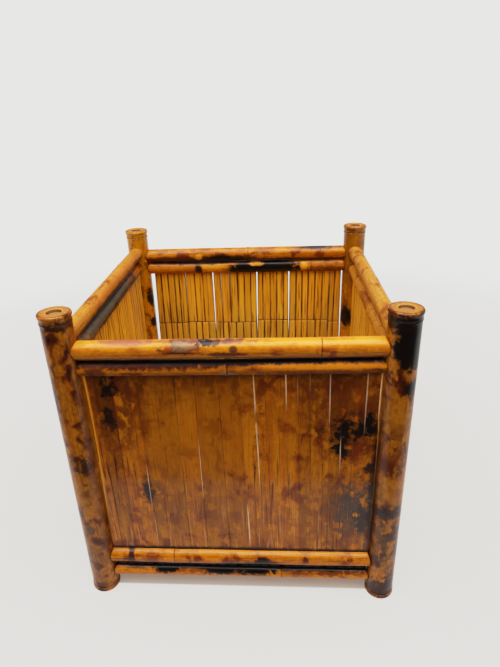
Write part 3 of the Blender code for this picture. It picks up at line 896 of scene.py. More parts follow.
class StripTree(ShapeTree):
    """The tree that lays split strips side by side from one point a strip.

    Each point carries, with lengths in metres:
    - `left` and `right`: the strip's sides at the board's foot and head
    - `left_gap` and `right_gap`: the low end, high end and width of a crack that opens there
    - `span`: its low and high end and how far it stands in
    - `tone`: a number of its own
    """

    READS = ("span", "left", "right", "left_gap", "right_gap")
    SIZES = ("Foot", "Head", "Thickness", "Seam", "Skin Squareness", "Core Squareness", "Waviness", "Wander")
    TAKES = {
        "Strips": bpy.types.Mesh,
        **dict.fromkeys(("Sides", "Rows"), int),
        **dict.fromkeys((*SIZES, "End Round", "Seed"), float),
        "Material": bpy.types.Material,
    }

    def __init__(self) -> None:
        """Build the tree."""
        gives = {"Board": bpy.types.Mesh}
        self.tree, g, inputs, result = open_group("Split Strips", "GeometryNodeTree", self.TAKES, gives)
        points = {"Points": inputs["Strips"], "Instance": self.unit_strip(g, inputs)}
        plain = g.shape("RealizeInstances", g.out("GeometryNodeInstanceOnPoints", "Instances", points))

        place_in, depth_in, up = g.separate(self.read(g, "unit"))
        low, high, stand = g.separate(self.read(g, "span"))
        height = g.blend(up, low, high)
        share = g.over(g.minus(height, inputs["Foot"]), g.minus(inputs["Head"], inputs["Foot"]))
        left, left_open = self.side(g, "left", share, height, inputs, 1.0)
        right, right_open = self.side(g, "right", share, height, inputs, -1.0)
        half, middle = g.times(g.minus(right, left), 0.5), g.times(g.plus(right, left), 0.5)
        across = g.fused(place_in, half, middle)

        to_end = g.math("MINIMUM", g.minus(height, low), g.minus(high, height))
        drop = g.ramp(to_end, 0.0, inputs["End Round"], 0.30, 0.0)
        inward = g.math("MAXIMUM", depth_in, 0.0)
        body = g.fused(g.times(inward, drop), -1.0, depth_in)
        deep = g.times(g.fused(body, 0.5, 0.5), inputs["Thickness"])
        path = g.combine(g.times(middle, 97.0), 0.0, g.times(height, 18.0))
        path = g.vector("ADD", path, g.combine(inputs["Seed"], 0.0, inputs["Seed"]))
        deep = g.fused(g.minus(g.noise(path, 1.0, 1.0), 0.5), inputs["Waviness"], deep)
        spot = g.combine(across, g.plus(deep, stand), height)

        shaped = g.shape("SetPosition", plain, Position=spot)
        edge = g.times(g.times(g.minus(1.0, g.math("ABSOLUTE", place_in)), half), 1.0 / MM)
        stored = {
            "edge": edge,
            "rim": g.math("MINIMUM", edge, g.times(to_end, 2.6 / MM)),
            "opened": g.blend(g.ramp(place_in, -0.2, 0.2), left_open, right_open),
            "inside": g.ramp(depth_in, -0.2, 0.5),
        }
        for name, value in stored.items():
            shaped = self.store(g, shaped, name, value)
        for name in ("unit", *self.READS):
            shaped = g.shape("RemoveAttribute", shaped, Name=name)
        g.feed(result["Board"], self.close(g, shaped, inputs["Material"]))

    @staticmethod
    def read(g: Graph, name: str) -> Socket:
        """The vector attribute of that name."""
        return g.out("GeometryNodeInputNamedAttribute", "Attribute", {"Name": name}, data_type="FLOAT_VECTOR")

    @staticmethod
    def store(g: Graph, geometry: Value, name: str, value: Value, form: str = "FLOAT") -> Socket:
        """Write a value on the points of a mesh."""
        sockets = {"Geometry": geometry, "Name": name, "Value": value}
        return g.out("GeometryNodeStoreNamedAttribute", "Geometry", sockets, data_type=form, domain="POINT")

    def side(
        self, g: Graph, name: str, share: Value, height: Value, inputs: bpy.types.NodeOutputs, way: float
    ) -> tuple[Socket, Socket]:
        """Where a side of the strip runs, and how far its crack is open there.

        Args:
            g: The tree's graph.
            name: left or right.
            share: Height as a share of the board.
            height: Height in metres.
            inputs: The tree's inputs.
            way: 1 to move the left side in, -1 for the right one.

        Returns:
            The side's place across, and the crack's opening from 0 to 1.
        """
        foot, head, _ = g.separate(self.read(g, name))
        start, end, width = g.separate(self.read(g, f"{name}_gap"))
        into = g.over(g.minus(height, start), g.minus(end, start))
        off = g.math("ABSOLUTE", g.fused(into, 2.0, -1.0))
        lens = g.minus(1.0, g.math("POWER", off, 3.0), clamp=True)
        move = g.fused(g.times(lens, width), 0.5, inputs["Seam"])
        path = g.combine(g.times(foot, 110.0), inputs["Seed"], g.times(height, 34.0))
        bent = g.minus(g.noise(path, 1.0, 2.0), 0.5)
        place_on = g.fused(move, way, g.fused(bent, inputs["Wander"], g.blend(share, foot, head)))
        return place_on, g.times(lens, g.over(width, 0.35 * MM), clamp=True)

    def unit_strip(self, g: Graph, inputs: bpy.types.NodeOutputs) -> Socket:
        """A strip in unit sizes.

        Args:
            g: The tree's graph.
            inputs: The tree's inputs.

        Returns:
            Its mesh, with a rounded square section, a flat skin at -1, a round core at 1, and height 0 to 1.
        """
        grid, row, last, _, cosine, sine = self.roll(g, inputs["Sides"], g.plus(inputs["Rows"], 2.0))
        step = g.over(g.minus(row, 1.0), g.minus(last, 2.0), clamp=True)
        up = g.fused(g.math("COSINE", g.times(step, math.pi)), -0.5, 0.5)
        at_start = g.math("GREATER_THAN", row, 0.5)
        at_end = g.math("LESS_THAN", row, g.minus(last, 0.5))
        full = g.times(at_start, at_end)
        core = g.math("GREATER_THAN", sine, 0.0)
        power = g.over(2.0, g.blend(core, inputs["Skin Squareness"], inputs["Core Squareness"]))
        place_in, depth_in = (
            g.times(g.math("SIGN", part), g.math("POWER", g.math("ABSOLUTE", part), power))
            for part in (cosine, sine)
        )
        unit = g.combine(g.times(place_in, full), g.times(depth_in, full), up)
        closed = g.shape("MergeByDistance", g.shape("SetPosition", grid, Position=unit), Distance=0.01 * MM)
        return self.store(g, closed, "unit", g.out("GeometryNodeInputPosition", "Position"), "FLOAT_VECTOR")


def corners(node: bpy.types.Object) -> np.ndarray:
    """The points of a CAD node's mesh.

    Args:
        node: The node.

    Returns:
        One row of X, Y and Z a point.
    """
    points = np.empty(len(node.data.vertices) * 3)
    node.data.vertices.foreach_get("co", points)
    return points.reshape(-1, 3)


def box_of(node: str) -> tuple[Vector, Vector]:
    """A CAD node's lowest and highest corner."""
    low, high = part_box(node)
    return Vector(low), Vector(high)


@dataclass(frozen=True)
class Bar:
    """A round piece: the middle of its axis, its radius and the place of its node."""

    middle: Vector
    radius: float
    node: float


@dataclass
class Frame:
    """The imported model: its nodes by name."""

    nodes: dict[str, bpy.types.Object]

    NODE_RISE = 0.4 * MM

    def bar(self, name: str, grain: Grain) -> Bar:
        """Axis, radius and node of a rail.

        Args:
            name: The CAD node, whose mesh is read.
            grain: The way that the rail runs.

        Returns:
            The rail's sizes.
        """
        low, high = box_of(name)
        sideways = 1 if grain.axis == 0 else 0
        reach = (high[sideways] - low[sideways]) / 2
        middle = (low + high) / 2
        if name.endswith("top_lower"):
            middle.z = high.z - reach
        elif name.endswith("bottom_upper"):
            middle.z = low.z + reach
        points = corners(self.nodes[name])
        level = points[:, 2] - middle.z
        off = points[:, sideways] - middle[sideways]
        ring = points[np.hypot(level, off) > reach - self.NODE_RISE / 2][:, grain.axis]
        return Bar(middle, reach - self.NODE_RISE, float(ring.mean()))


@dataclass(frozen=True)
class RailShape:
    """How a real rail differs from its straight, even solid, in metres.

    `rise` is how far its right end stands above its left end, `swell` how much thicker it is, `taper` its
    change in thickness from the middle to its far end as a share, and `node` where its node is seen.
    """

    rise: float = 0.0
    swell: float = 0.0
    taper: float = 0.0
    node: float | None = None


def ring_rows(place_on: float, radius: float, rise: float = 0.45 * MM) -> Rows:
    """Profile points of a bamboo node: a ridge, the scar groove and a lower ridge.

    Args:
        place_on: Where the scar stands along the cane.
        radius: The cane's radius beside the node.
        rise: How far the ridge stands out.

    Returns:
        The points as (radius, along).
    """
    above = ((-3.2, 0.0), (-1.7, 0.45), (-0.75, 1.0), (-0.28, 0.75))
    below = ((0.0, -0.55), (0.3, 0.55), (0.9, 0.7), (2.2, 0.0))
    return [(radius + lift * rise, place_on + off * MM) for off, lift in above + below]


def long_rows(radius: float, start: float, end: float, step: float = 6 * MM) -> Rows:
    """Evenly spaced profile points along a plain stretch."""
    count = max(2, round(abs(end - start) / step))
    return [(radius, start + (end - start) * index / count) for index in range(count + 1)]


def capped(radius: float, end: float, shares: Sequence[float], middle: Rows) -> Rows:
    """Profile points of a cane whose ends have a small round edge.

    Args:
        radius: The cane's radius.
        end: Half its length.
        shares: Where an end face has points, as shares of the radius, from its middle outwards.
        middle: Profile points between the ends.

    Returns:
        The whole profile, from one pole to the other.
    """
    edge = 0.6 * MM
    face = [(radius * share, end) for share in shares]
    low = [(at, -along) for at, along in face]
    return [*low, (radius, -end + edge), *middle, (radius, end - edge), *reversed(face)]


@dataclass
class CaneShop:
    """Turns the posts, rails, bearers and pins."""

    frame: Frame
    shading: Shading
    tree: CaneTree = field(default_factory=CaneTree)
    half_spacing: float = 139.25 * MM
    post_radius: float = 13.15 * MM
    post_height: float = 305.0 * MM
    foot_ring: float = 6.5 * MM
    head_ring: float = 7.5 * MM
    cut_depth: float = 5.0 * MM
    joint_gap: float = 0.05 * MM
    let_in: float = 5.0 * MM
    plain_end: float = 2.0 * MM
    below_ring: float = 4.2 * MM
    above_ring: float = 3.2 * MM
    post_foot: float = 12.0 * MM
    post_head: float = 14.0 * MM

    def turn(self, name: str, rows: Rows, where: Matrix, **values: Value) -> bpy.types.Object:
        """Turn a piece from its profile.

        Args:
            name: The piece's name.
            rows: Profile points as (radius, along), from one pole to the other.
            where: Puts the piece, whose axis is local Z, in place.
            values: The tree's inputs, with underscores for spaces.

        Returns:
            The finished object.
        """
        piece = new_piece(name, [(radius, 0.0, along) for radius, along in rows])
        given = {
            "Sides": 40,
            "Radius": max(radius for radius, _ in rows),
            "Half_Length": max(abs(along) for _, along in rows),
            "Cope_Reach": 1.0,
            "Cope_Blend": 0.02,
            "Seed": seed_of(name),
        }
        run_tree(piece, self.tree.tree, **{**given, **values})
        place(piece, where)
        return piece

    def post_rows(self) -> Rows:
        """Profile of a post: pit and septum at both ends, soft rims and a node near each end.

        Returns:
            The points as (radius, height), from the foot's septum to the head's.
        """
        radius, height = self.post_radius, self.post_height
        foot = ((0.0, 4.3), (3.0, 4.2), (4.9, 3.8), (5.7, 3.0), (6.1, 1.4), (6.4, 0.4), (7.1, 0.0))
        rim = ((9.4, 0.05), (12.1, 0.0), (13.0, 0.25), (13.5, 0.9), (13.7, 1.8), (13.6, 2.9))
        head = ((13.55, 3.9), (13.95, 3.0), (14.15, 2.0), (14.0, 1.1), (13.5, 0.45), (12.6, 0.1), (9.8, 0.0))
        pit = ((7.2, 0.05), (6.7, 0.2), (6.4, 0.6), (6.25, 1.4), (6.1, 2.4), (5.6, 2.8), (3.0, 2.95))
        septum = (0.0, 3.0)
        return [
            *((at * MM, up * MM) for at, up in foot + rim),
            *ring_rows(self.foot_ring, radius),
            *long_rows(radius, self.post_foot, height - self.post_head),
            *ring_rows(height - self.head_ring, radius),
            *((at * MM, height - down * MM) for at, down in (*head, *pit, septum)),
        ]

    def post(self, corner: str, tone: Tone, bow: Point, burns: Sequence[BurnAndPaintedLight]) -> None:
        """Make one corner post.

        Args:
            corner: Its corner, such as front_left.
            tone: Its colours.
            bow: How far its middle is off its axis.
            burns: Its burnt places, from its axis, with painted shade among them.
        """
        side_x = -1 if corner.endswith("left") else 1
        side_y = -1 if corner.startswith("front") else 1
        x, y = side_x * self.half_spacing, side_y * self.half_spacing
        rings = (self.foot_ring, self.post_height - self.head_ring)
        cut = CutEnd((x, y), self.cut_depth, self.post_height - self.cut_depth)
        name = f"{corner} post bamboo"
        material = self.shading.cane(name, tone, Grain.UPRIGHT, rings, near(x, y, burns), cut)
        piece = self.turn(
            f"{corner}_culm",
            self.post_rows(),
            Matrix.Translation((x, y, 0.0)),
            Material=material,
            Ovalness=0.006,
            Unevenness=0.35 * MM,
            Bow=bow,
            Half_Length=self.post_height,
        )
        dress(piece, f"post_{corner}")

    def rail(
        self, node: str, grain: Grain, tone: Tone, burns: Sequence[BurnAndPaintedLight], shape: RailShape, bow: Point
    ) -> None:
        """Make one rail, coped to the two posts that it joins.

        Args:
            node: The CAD node.
            grain: The way that the rail runs.
            tone: Its colours.
            burns: Its burnt places, with painted shade, highlights and a painted reflection among them.
            shape: How it differs from its solid.
            bow: How far its middle is off its axis.
        """
        bar = self.frame.bar(node, grain)
        ring = bar.node if shape.node is None else shape.node
        cope = self.post_radius + self.joint_gap
        end = self.half_spacing - cope
        radius = bar.radius + shape.swell
        rows = [
            *long_rows(radius, self.plain_end - end, ring - self.below_ring),
            *ring_rows(ring, radius),
            *long_rows(radius, ring + self.above_ring, end - self.plain_end),
        ]
        turn = Matrix.Rotation(QUARTER, 4, "Y")
        if grain is Grain.ALONG_Y:
            turn = Matrix.Rotation(QUARTER, 4, "Z") @ turn
        piece = self.turn(
            f"{node}_cane",
            capped(radius, end, (0.0, 0.5, 0.9), rows),
            Matrix.Translation(bar.middle) @ turn,
            Material=self.shading.cane(f"{node} bamboo", tone, grain, (ring,), burns),
            Ovalness=0.012,
            Unevenness=0.45 * MM,
            Taper=shape.taper,
            Bow=bow,
            Lean=(-shape.rise / 2, 0.0, 0.0),
            Cope_Radius=cope,
            Cope_Reach=self.half_spacing,
        )
        dress(piece, node)

    def bearer(self, node: str, tone: Tone) -> None:
        """Make one cane under the floor, its ends let into the side rails.

        Args:
            node: The CAD node.
            tone: Its colours.
        """
        low, high = box_of(node)
        radius = (high.y - low.y) / 2
        middle = Vector(((low.x + high.x) / 2, (low.y + high.y) / 2, high.z - radius))
        end = self.half_spacing - self.let_in
        rows = capped(radius, end, (0.0, 0.9), long_rows(radius, self.plain_end - end, end - self.plain_end))
        where = Matrix.Translation(middle) @ Matrix.Rotation(QUARTER, 4, "Y")
        material = self.shading.cane(f"{node} bamboo", tone, Grain.ALONG_X)
        piece = self.turn(f"{node}_cane", rows, where, Material=material, Unevenness=0.2 * MM)
        dress(piece, node)

    def pin(self, node: str, tone: Tone) -> None:
        """Make one pin, from its tip inside the post to its worn head.

        Args:
            node: The CAD node.
            tone: Its colours.
        """
        low, high = box_of(node)
        radius = (high.x - low.x) / 2
        length = high.y - low.y
        head = ((1.0, 0.75), (0.93, 0.35), (0.75, 0.1), (0.35, 0.0), (0.0, 0.02))
        rows = [(0.0, 0.0), (radius * 0.7, 0.0), (radius, 0.5 * MM), (radius, length / 2)]
        rows += [(radius * share, length - down * MM) for share, down in head]
        front = node.startswith("pin_front")
        foot = Vector(((low.x + high.x) / 2, high.y if front else low.y, (low.z + high.z) / 2))
        where = Matrix.Translation(foot) @ Matrix.Rotation(QUARTER if front else -QUARTER, 4, "X")
        material = self.shading.cane(f"{node} wood", tone, Grain.ALONG_Y)
        piece = self.turn(f"{node}_dowel", rows, where, Material=material, Sides=20)
        dress(piece, node)


@dataclass(frozen=True)
class Opening:
    """A crack that has opened: its low and high end and its width, in millimetres."""

    low: float
    high: float
    width: float


CLOSED = Opening(0.0, 1.0, 0.0)


@dataclass(frozen=True)
class Split:
    """Where a board is split, as a share of its width, and whether the crack is open."""

    share: float
    opening: Opening = CLOSED


@dataclass(frozen=True)
class BoardPlan:
    """The splits of a board, below and above its node line, and how its sides stand open."""

    lower: tuple[Split, ...]
    upper: tuple[Split, ...] = ()
    left: Opening = CLOSED
    right: Opening = CLOSED


def evenly(count: int, name: str, looseness: float = 0.16) -> tuple[Split, ...]:
    """Splits that part a board into `count` strips of about the same width."""
    chance = random.Random(name)
    return tuple(Split((index + chance.uniform(-looseness, looseness)) / count) for index in range(1, count))


@dataclass
class BoardShop:
    """Lays the wall boards and the floor from split strips."""

    frame: Frame
    shading: Shading
    tree: StripTree = field(default_factory=StripTree)
    tuck: float = 0.24 * MM
    node_gap: float = 0.12 * MM
    node_drift: float = 2.0 * MM
    slack: float = 0.01 * MM

    def outline(self, node: str, to_wall: Matrix) -> tuple[np.ndarray, float, float, float, float]:
        """Corners of a CAD board in the wall's own axes.

        Args:
            node: The CAD node.
            to_wall: From the row frame to (across, in, along).

        Returns:
            Left and right side at the foot and at the head, then foot, head, skin and core.
        """
        points = corners(self.frame.nodes[node])
        points = points @ np.array(to_wall.to_3x3()).T + np.array(to_wall.translation)
        foot, head = points[:, 2].min(), points[:, 2].max()
        low = points[points[:, 2] < foot + self.slack][:, 0]
        high = points[points[:, 2] > head - self.slack][:, 0]
        sides = np.array((low.min(), high.min(), low.max(), high.max()))
        return sides, foot, head, points[:, 1].min(), points[:, 1].max()

    def lay(
        self,
        node: str,
        plan: BoardPlan,
        where: Matrix,
        material: bpy.types.Material,
        node_line: float | None = None,
        slot: str = "wall_board",
        relief: float = 0.25 * MM,
        **values: Value,
    ) -> None:
        """Lay one board.

        Args:
            node: The CAD node that the board replaces.
            plan: Its splits.
            where: From the wall's own axes (across, in, along) to the row frame.
            material: Its material.
            node_line: Height of the bamboo node across the board, if it shows one.
            slot: The record's material slot; not used.
            relief: How far in a strip may stand.
            values: The tree's inputs, with underscores for spaces.
        """
        sides, foot, head, skin, core = self.outline(node, where.inverted())
        chance = random.Random(node)
        rows = [(foot, head, plan.lower)]
        if node_line is not None:
            line = node_line + chance.uniform(-self.node_drift, self.node_drift)
            rows = [(foot, line - self.node_gap, plan.lower), (line + self.node_gap, head, plan.upper)]
        strips: dict[str, list[Point]] = {key: [] for key in StripTree.READS}
        tones: list[float] = []
        for low, high, splits in rows:
            stops = [Split(0.0, plan.left), *splits, Split(1.0, plan.right)]
            for pair in zip(stops, stops[1:]):
                for key, stop, way in zip(("left", "right"), pair, (-1, 1)):
                    out = way * self.tuck if stop.share in (0.0, 1.0) else 0.0
                    ends = [sides[end] + (sides[end + 2] - sides[end]) * stop.share + out for end in (0, 1)]
                    gap = stop.opening
                    strips[key].append((*ends, 0.0))
                    strips[f"{key}_gap"].append((gap.low * MM, gap.high * MM, gap.width * MM))
                strips["span"].append((low, high, skin + chance.uniform(0.0, relief)))
                tones.append(chance.random())
        piece = new_piece(f"{node}_strips", [(0.0, 0.0, 0.0)] * len(tones))
        for key, points in strips.items():
            layer = piece.data.attributes.new(key, "FLOAT_VECTOR", "POINT")
            layer.data.foreach_set("vector", np.array(points, dtype=np.float32).ravel())
        piece.data.attributes.new("tone", "FLOAT", "POINT").data.foreach_set("value", tones)
        given = {
            "Sides": 24,
            "Rows": 22,
            "Foot": foot,
            "Head": head,
            "Thickness": core - skin - relief,
            "Seam": -0.01 * MM,
            "Skin_Squareness": 30.0,
            "Core_Squareness": 3.6,
            "Waviness": 0.3 * MM,
            "Wander": 0.5 * MM,
            "End_Round": 1.2 * MM,
            "Seed": 0.0,
            "Material": material,
        }
        run_tree(piece, self.tree.tree, **{**given, **values})
        place(piece, where)
        dress(piece, node)


# The kinds of burnt bamboo
POST_TONE = Tone(
    (0.44, 0.172, 0.010), (0.34, 0.092, 0.003), (0.110, 0.018, 0.002), (0.016, 0.005, 0.003),
    0.46, 0.60, 0.14, 68.0, coat=0.40,
)
PLAIN_POST = Tone((0.60, 0.255, 0.005), (0.50, 0.188, 0.003), (0.28, 0.082, 0.003), char_from=0.80)
RAIL_TONE = Tone(
    (0.66, 0.238, 0.004), (0.50, 0.140, 0.003), (0.30, 0.058, 0.003), (0.05, 0.010, 0.003),
    0.54, 0.72, 0.12, streaks=0.45, coat=0.30,
)
SHADED_RAIL = Tone(
    (0.56, 0.192, 0.004), (0.40, 0.108, 0.002), (0.18, 0.032, 0.002), (0.03, 0.006, 0.003),
    0.50, 0.68, 0.12, streaks=0.50, coat=0.30,
)
DULL_RAIL = replace(SHADED_RAIL, roughness=0.5, coat=0.02)
PALE_RAIL = Tone(
    (0.60, 0.270, 0.036), (0.49, 0.180, 0.014), (0.29, 0.080, 0.006), (0.10, 0.03, 0.01),
    0.50, 0.85, 0.15, streaks=0.45, roughness=0.42, coat=0.15,
)
# A lighter copy of the pale rail: painted light for the right lower rail, which lies in shade
LIGHTENED_PALE_RAIL = replace(
    PALE_RAIL,
    gold=(0.72, 0.325, 0.034),
    amber=(0.62, 0.230, 0.014),
    brown=(0.38, 0.110, 0.007),
    brown_from=0.52,
)
SKIN_TONE = Tone(
    (0.50, 0.182, 0.004), (0.41, 0.112, 0.002), (0.21, 0.040, 0.002), (0.05, 0.008, 0.002),
    0.47, 0.80, 0.20, 58.0, streaks=0.60, coat=0.4,
)
CORE_TONE = Tone(
    (0.66, 0.405, 0.050), (0.89, 0.435, 0.022), (0.54, 0.225, 0.012), (0.09, 0.025, 0.003),
    roughness=0.5, coat=0.2,
)
PALE_CORE = Tone(
    (0.96, 0.580, 0.050), (0.98, 0.540, 0.034), (0.80, 0.340, 0.020), (0.40, 0.130, 0.010),
    roughness=0.5, coat=0.2,
)
PIN_TONE = Tone((0.16, 0.045, 0.020), (0.12, 0.030, 0.014), (0.04, 0.012, 0.008), roughness=0.5, coat=0.2)

GREY: Colour = (0.32, 0.175, 0.090)
# Painted highlight: a light band along the tops of rails
TOP_HIGHLIGHT: Colour = (0.86, 0.330, 0.012)
HONEY: Colour = (0.42, 0.165, 0.010)
# Rust brown of burns, and of painted shade across the top of the front wall
RUST_AND_SHADE: Colour = (0.10, 0.018, 0.002)
# Black of char, and of painted shade in the gaps between rails and over the floor's ends
SOOT_AND_SHADE: Colour = (0.008, 0.004, 0.003)

# Each post's colours, its bow, and its burns from its axis, with painted shade down the flanks beside the
# front wall
POSTS: dict[str, tuple[Tone, Point, tuple[BurnAndPaintedLight, ...]]] = {
    "front_right": (POST_TONE, (0.6 * MM, 0.0, 0.0), (
        BurnAndPaintedLight((0, -10, 206), (30, 30, 18), HONEY, 1.8, 0.6, 0.0, 0.45),
        BurnAndPaintedLight((0, -10, 133), (30, 30, 14), HONEY, 1.8, 0.6, 0.0, 0.45),
        BurnAndPaintedLight((0, -10, 166), (30, 30, 13), (0.13, 0.028, 0.005), 1.8, 0.5, 0.6, 0.7),
        BurnAndPaintedLight((-10, -10, 272), (6, 14, 20), (0.52, 0.18, 0.006), 1.4, 0.4, 0.2, 0.85),
        BurnAndPaintedLight((6, 0, 280), (17, 40, 26), SOOT_AND_SHADE, 0.6, 0.15, spots=0.0),
        BurnAndPaintedLight((0, 0, 296.5), (30, 40, 6.5), (0.012, 0.006, 0.005), 1.0, 0.3, 0.0, 0.95),
        # Painted shade down the post's left flank, where it meets the front wall
        BurnAndPaintedLight((-12.8, -1, 120), (3, 9, 100), (0.06, 0.014, 0.004), 0.9, 0.5, 0.2, 0.85),
        BurnAndPaintedLight((10, 0, 240), (10, 30, 9), spots=0.5),
        BurnAndPaintedLight((0, -10, 108.5), (30, 30, 6), (0.035, 0.012, 0.010), 1.4, 0.4, 0.3, 0.9),
        BurnAndPaintedLight((4, -10, 74), (18, 30, 28), (0.055, 0.030, 0.022), 2.2, 0.6, 0.7, 0.75),
        BurnAndPaintedLight((2, -10, 13), (18, 30, 11), (0.022, 0.012, 0.013), 2.2, 0.4, 0.8, 0.9),
    )),
    "front_left": (POST_TONE, (-0.6 * MM, 0.0, 0.0), (
        BurnAndPaintedLight((0, -10, 128), (30, 30, 20), HONEY, 2.0, 0.6, 0.0, 0.3),
        BurnAndPaintedLight((-12, 0, 222), (8, 20, 26), (0.02, 0.008, 0.004), 1.4, 0.5, 0.5, 0.8),
        BurnAndPaintedLight((3, -13, 159), (12, 10, 8), (0.03, 0.010, 0.006), 2.0, 0.5, 0.5, 0.9),
        BurnAndPaintedLight((-2, -13, 83), (6, 10, 7), (0.05, 0.030, 0.026), 1.4, 0.5, 0.2, 0.8),
        BurnAndPaintedLight((0, -10, 45), (25, 30, 26), (0.13, 0.055, 0.026), 2.6, 0.5, 0.6, 0.5),
        BurnAndPaintedLight((0, -5, 295.5), (30, 20, 4), (0.03, 0.008, 0.006), 1.8, 0.4, 0.3, 0.9),
        # Painted shade down the post's right flank, where it meets the front wall, broken by amber spots
        BurnAndPaintedLight((12.2, -2, 165), (5.5, 11, 120), (0.09, 0.020, 0.004), 1.3, 0.6, 0.5, 0.6),
    )),
    "back_left": (PLAIN_POST, (0.0, 0.5 * MM, 0.0), (
        BurnAndPaintedLight((12, -6, 215), (6, 8, 12), spots=0.2),
        BurnAndPaintedLight((12, -6, 180), (6, 8, 8), spots=0.2),
    )),
    "back_right": (PLAIN_POST, (0.0, 0.5 * MM, 0.0), (
        BurnAndPaintedLight((0, 0, 270), (30, 30, 60), (0.24, 0.085, 0.006), edge=0.5, strength=0.75, spots=0.3),
        BurnAndPaintedLight((-10, -10, 185), (12, 10, 14), spots=0.4),
        BurnAndPaintedLight((0, 0, 20), (20, 20, 20), spots=0.4),
    )),
}
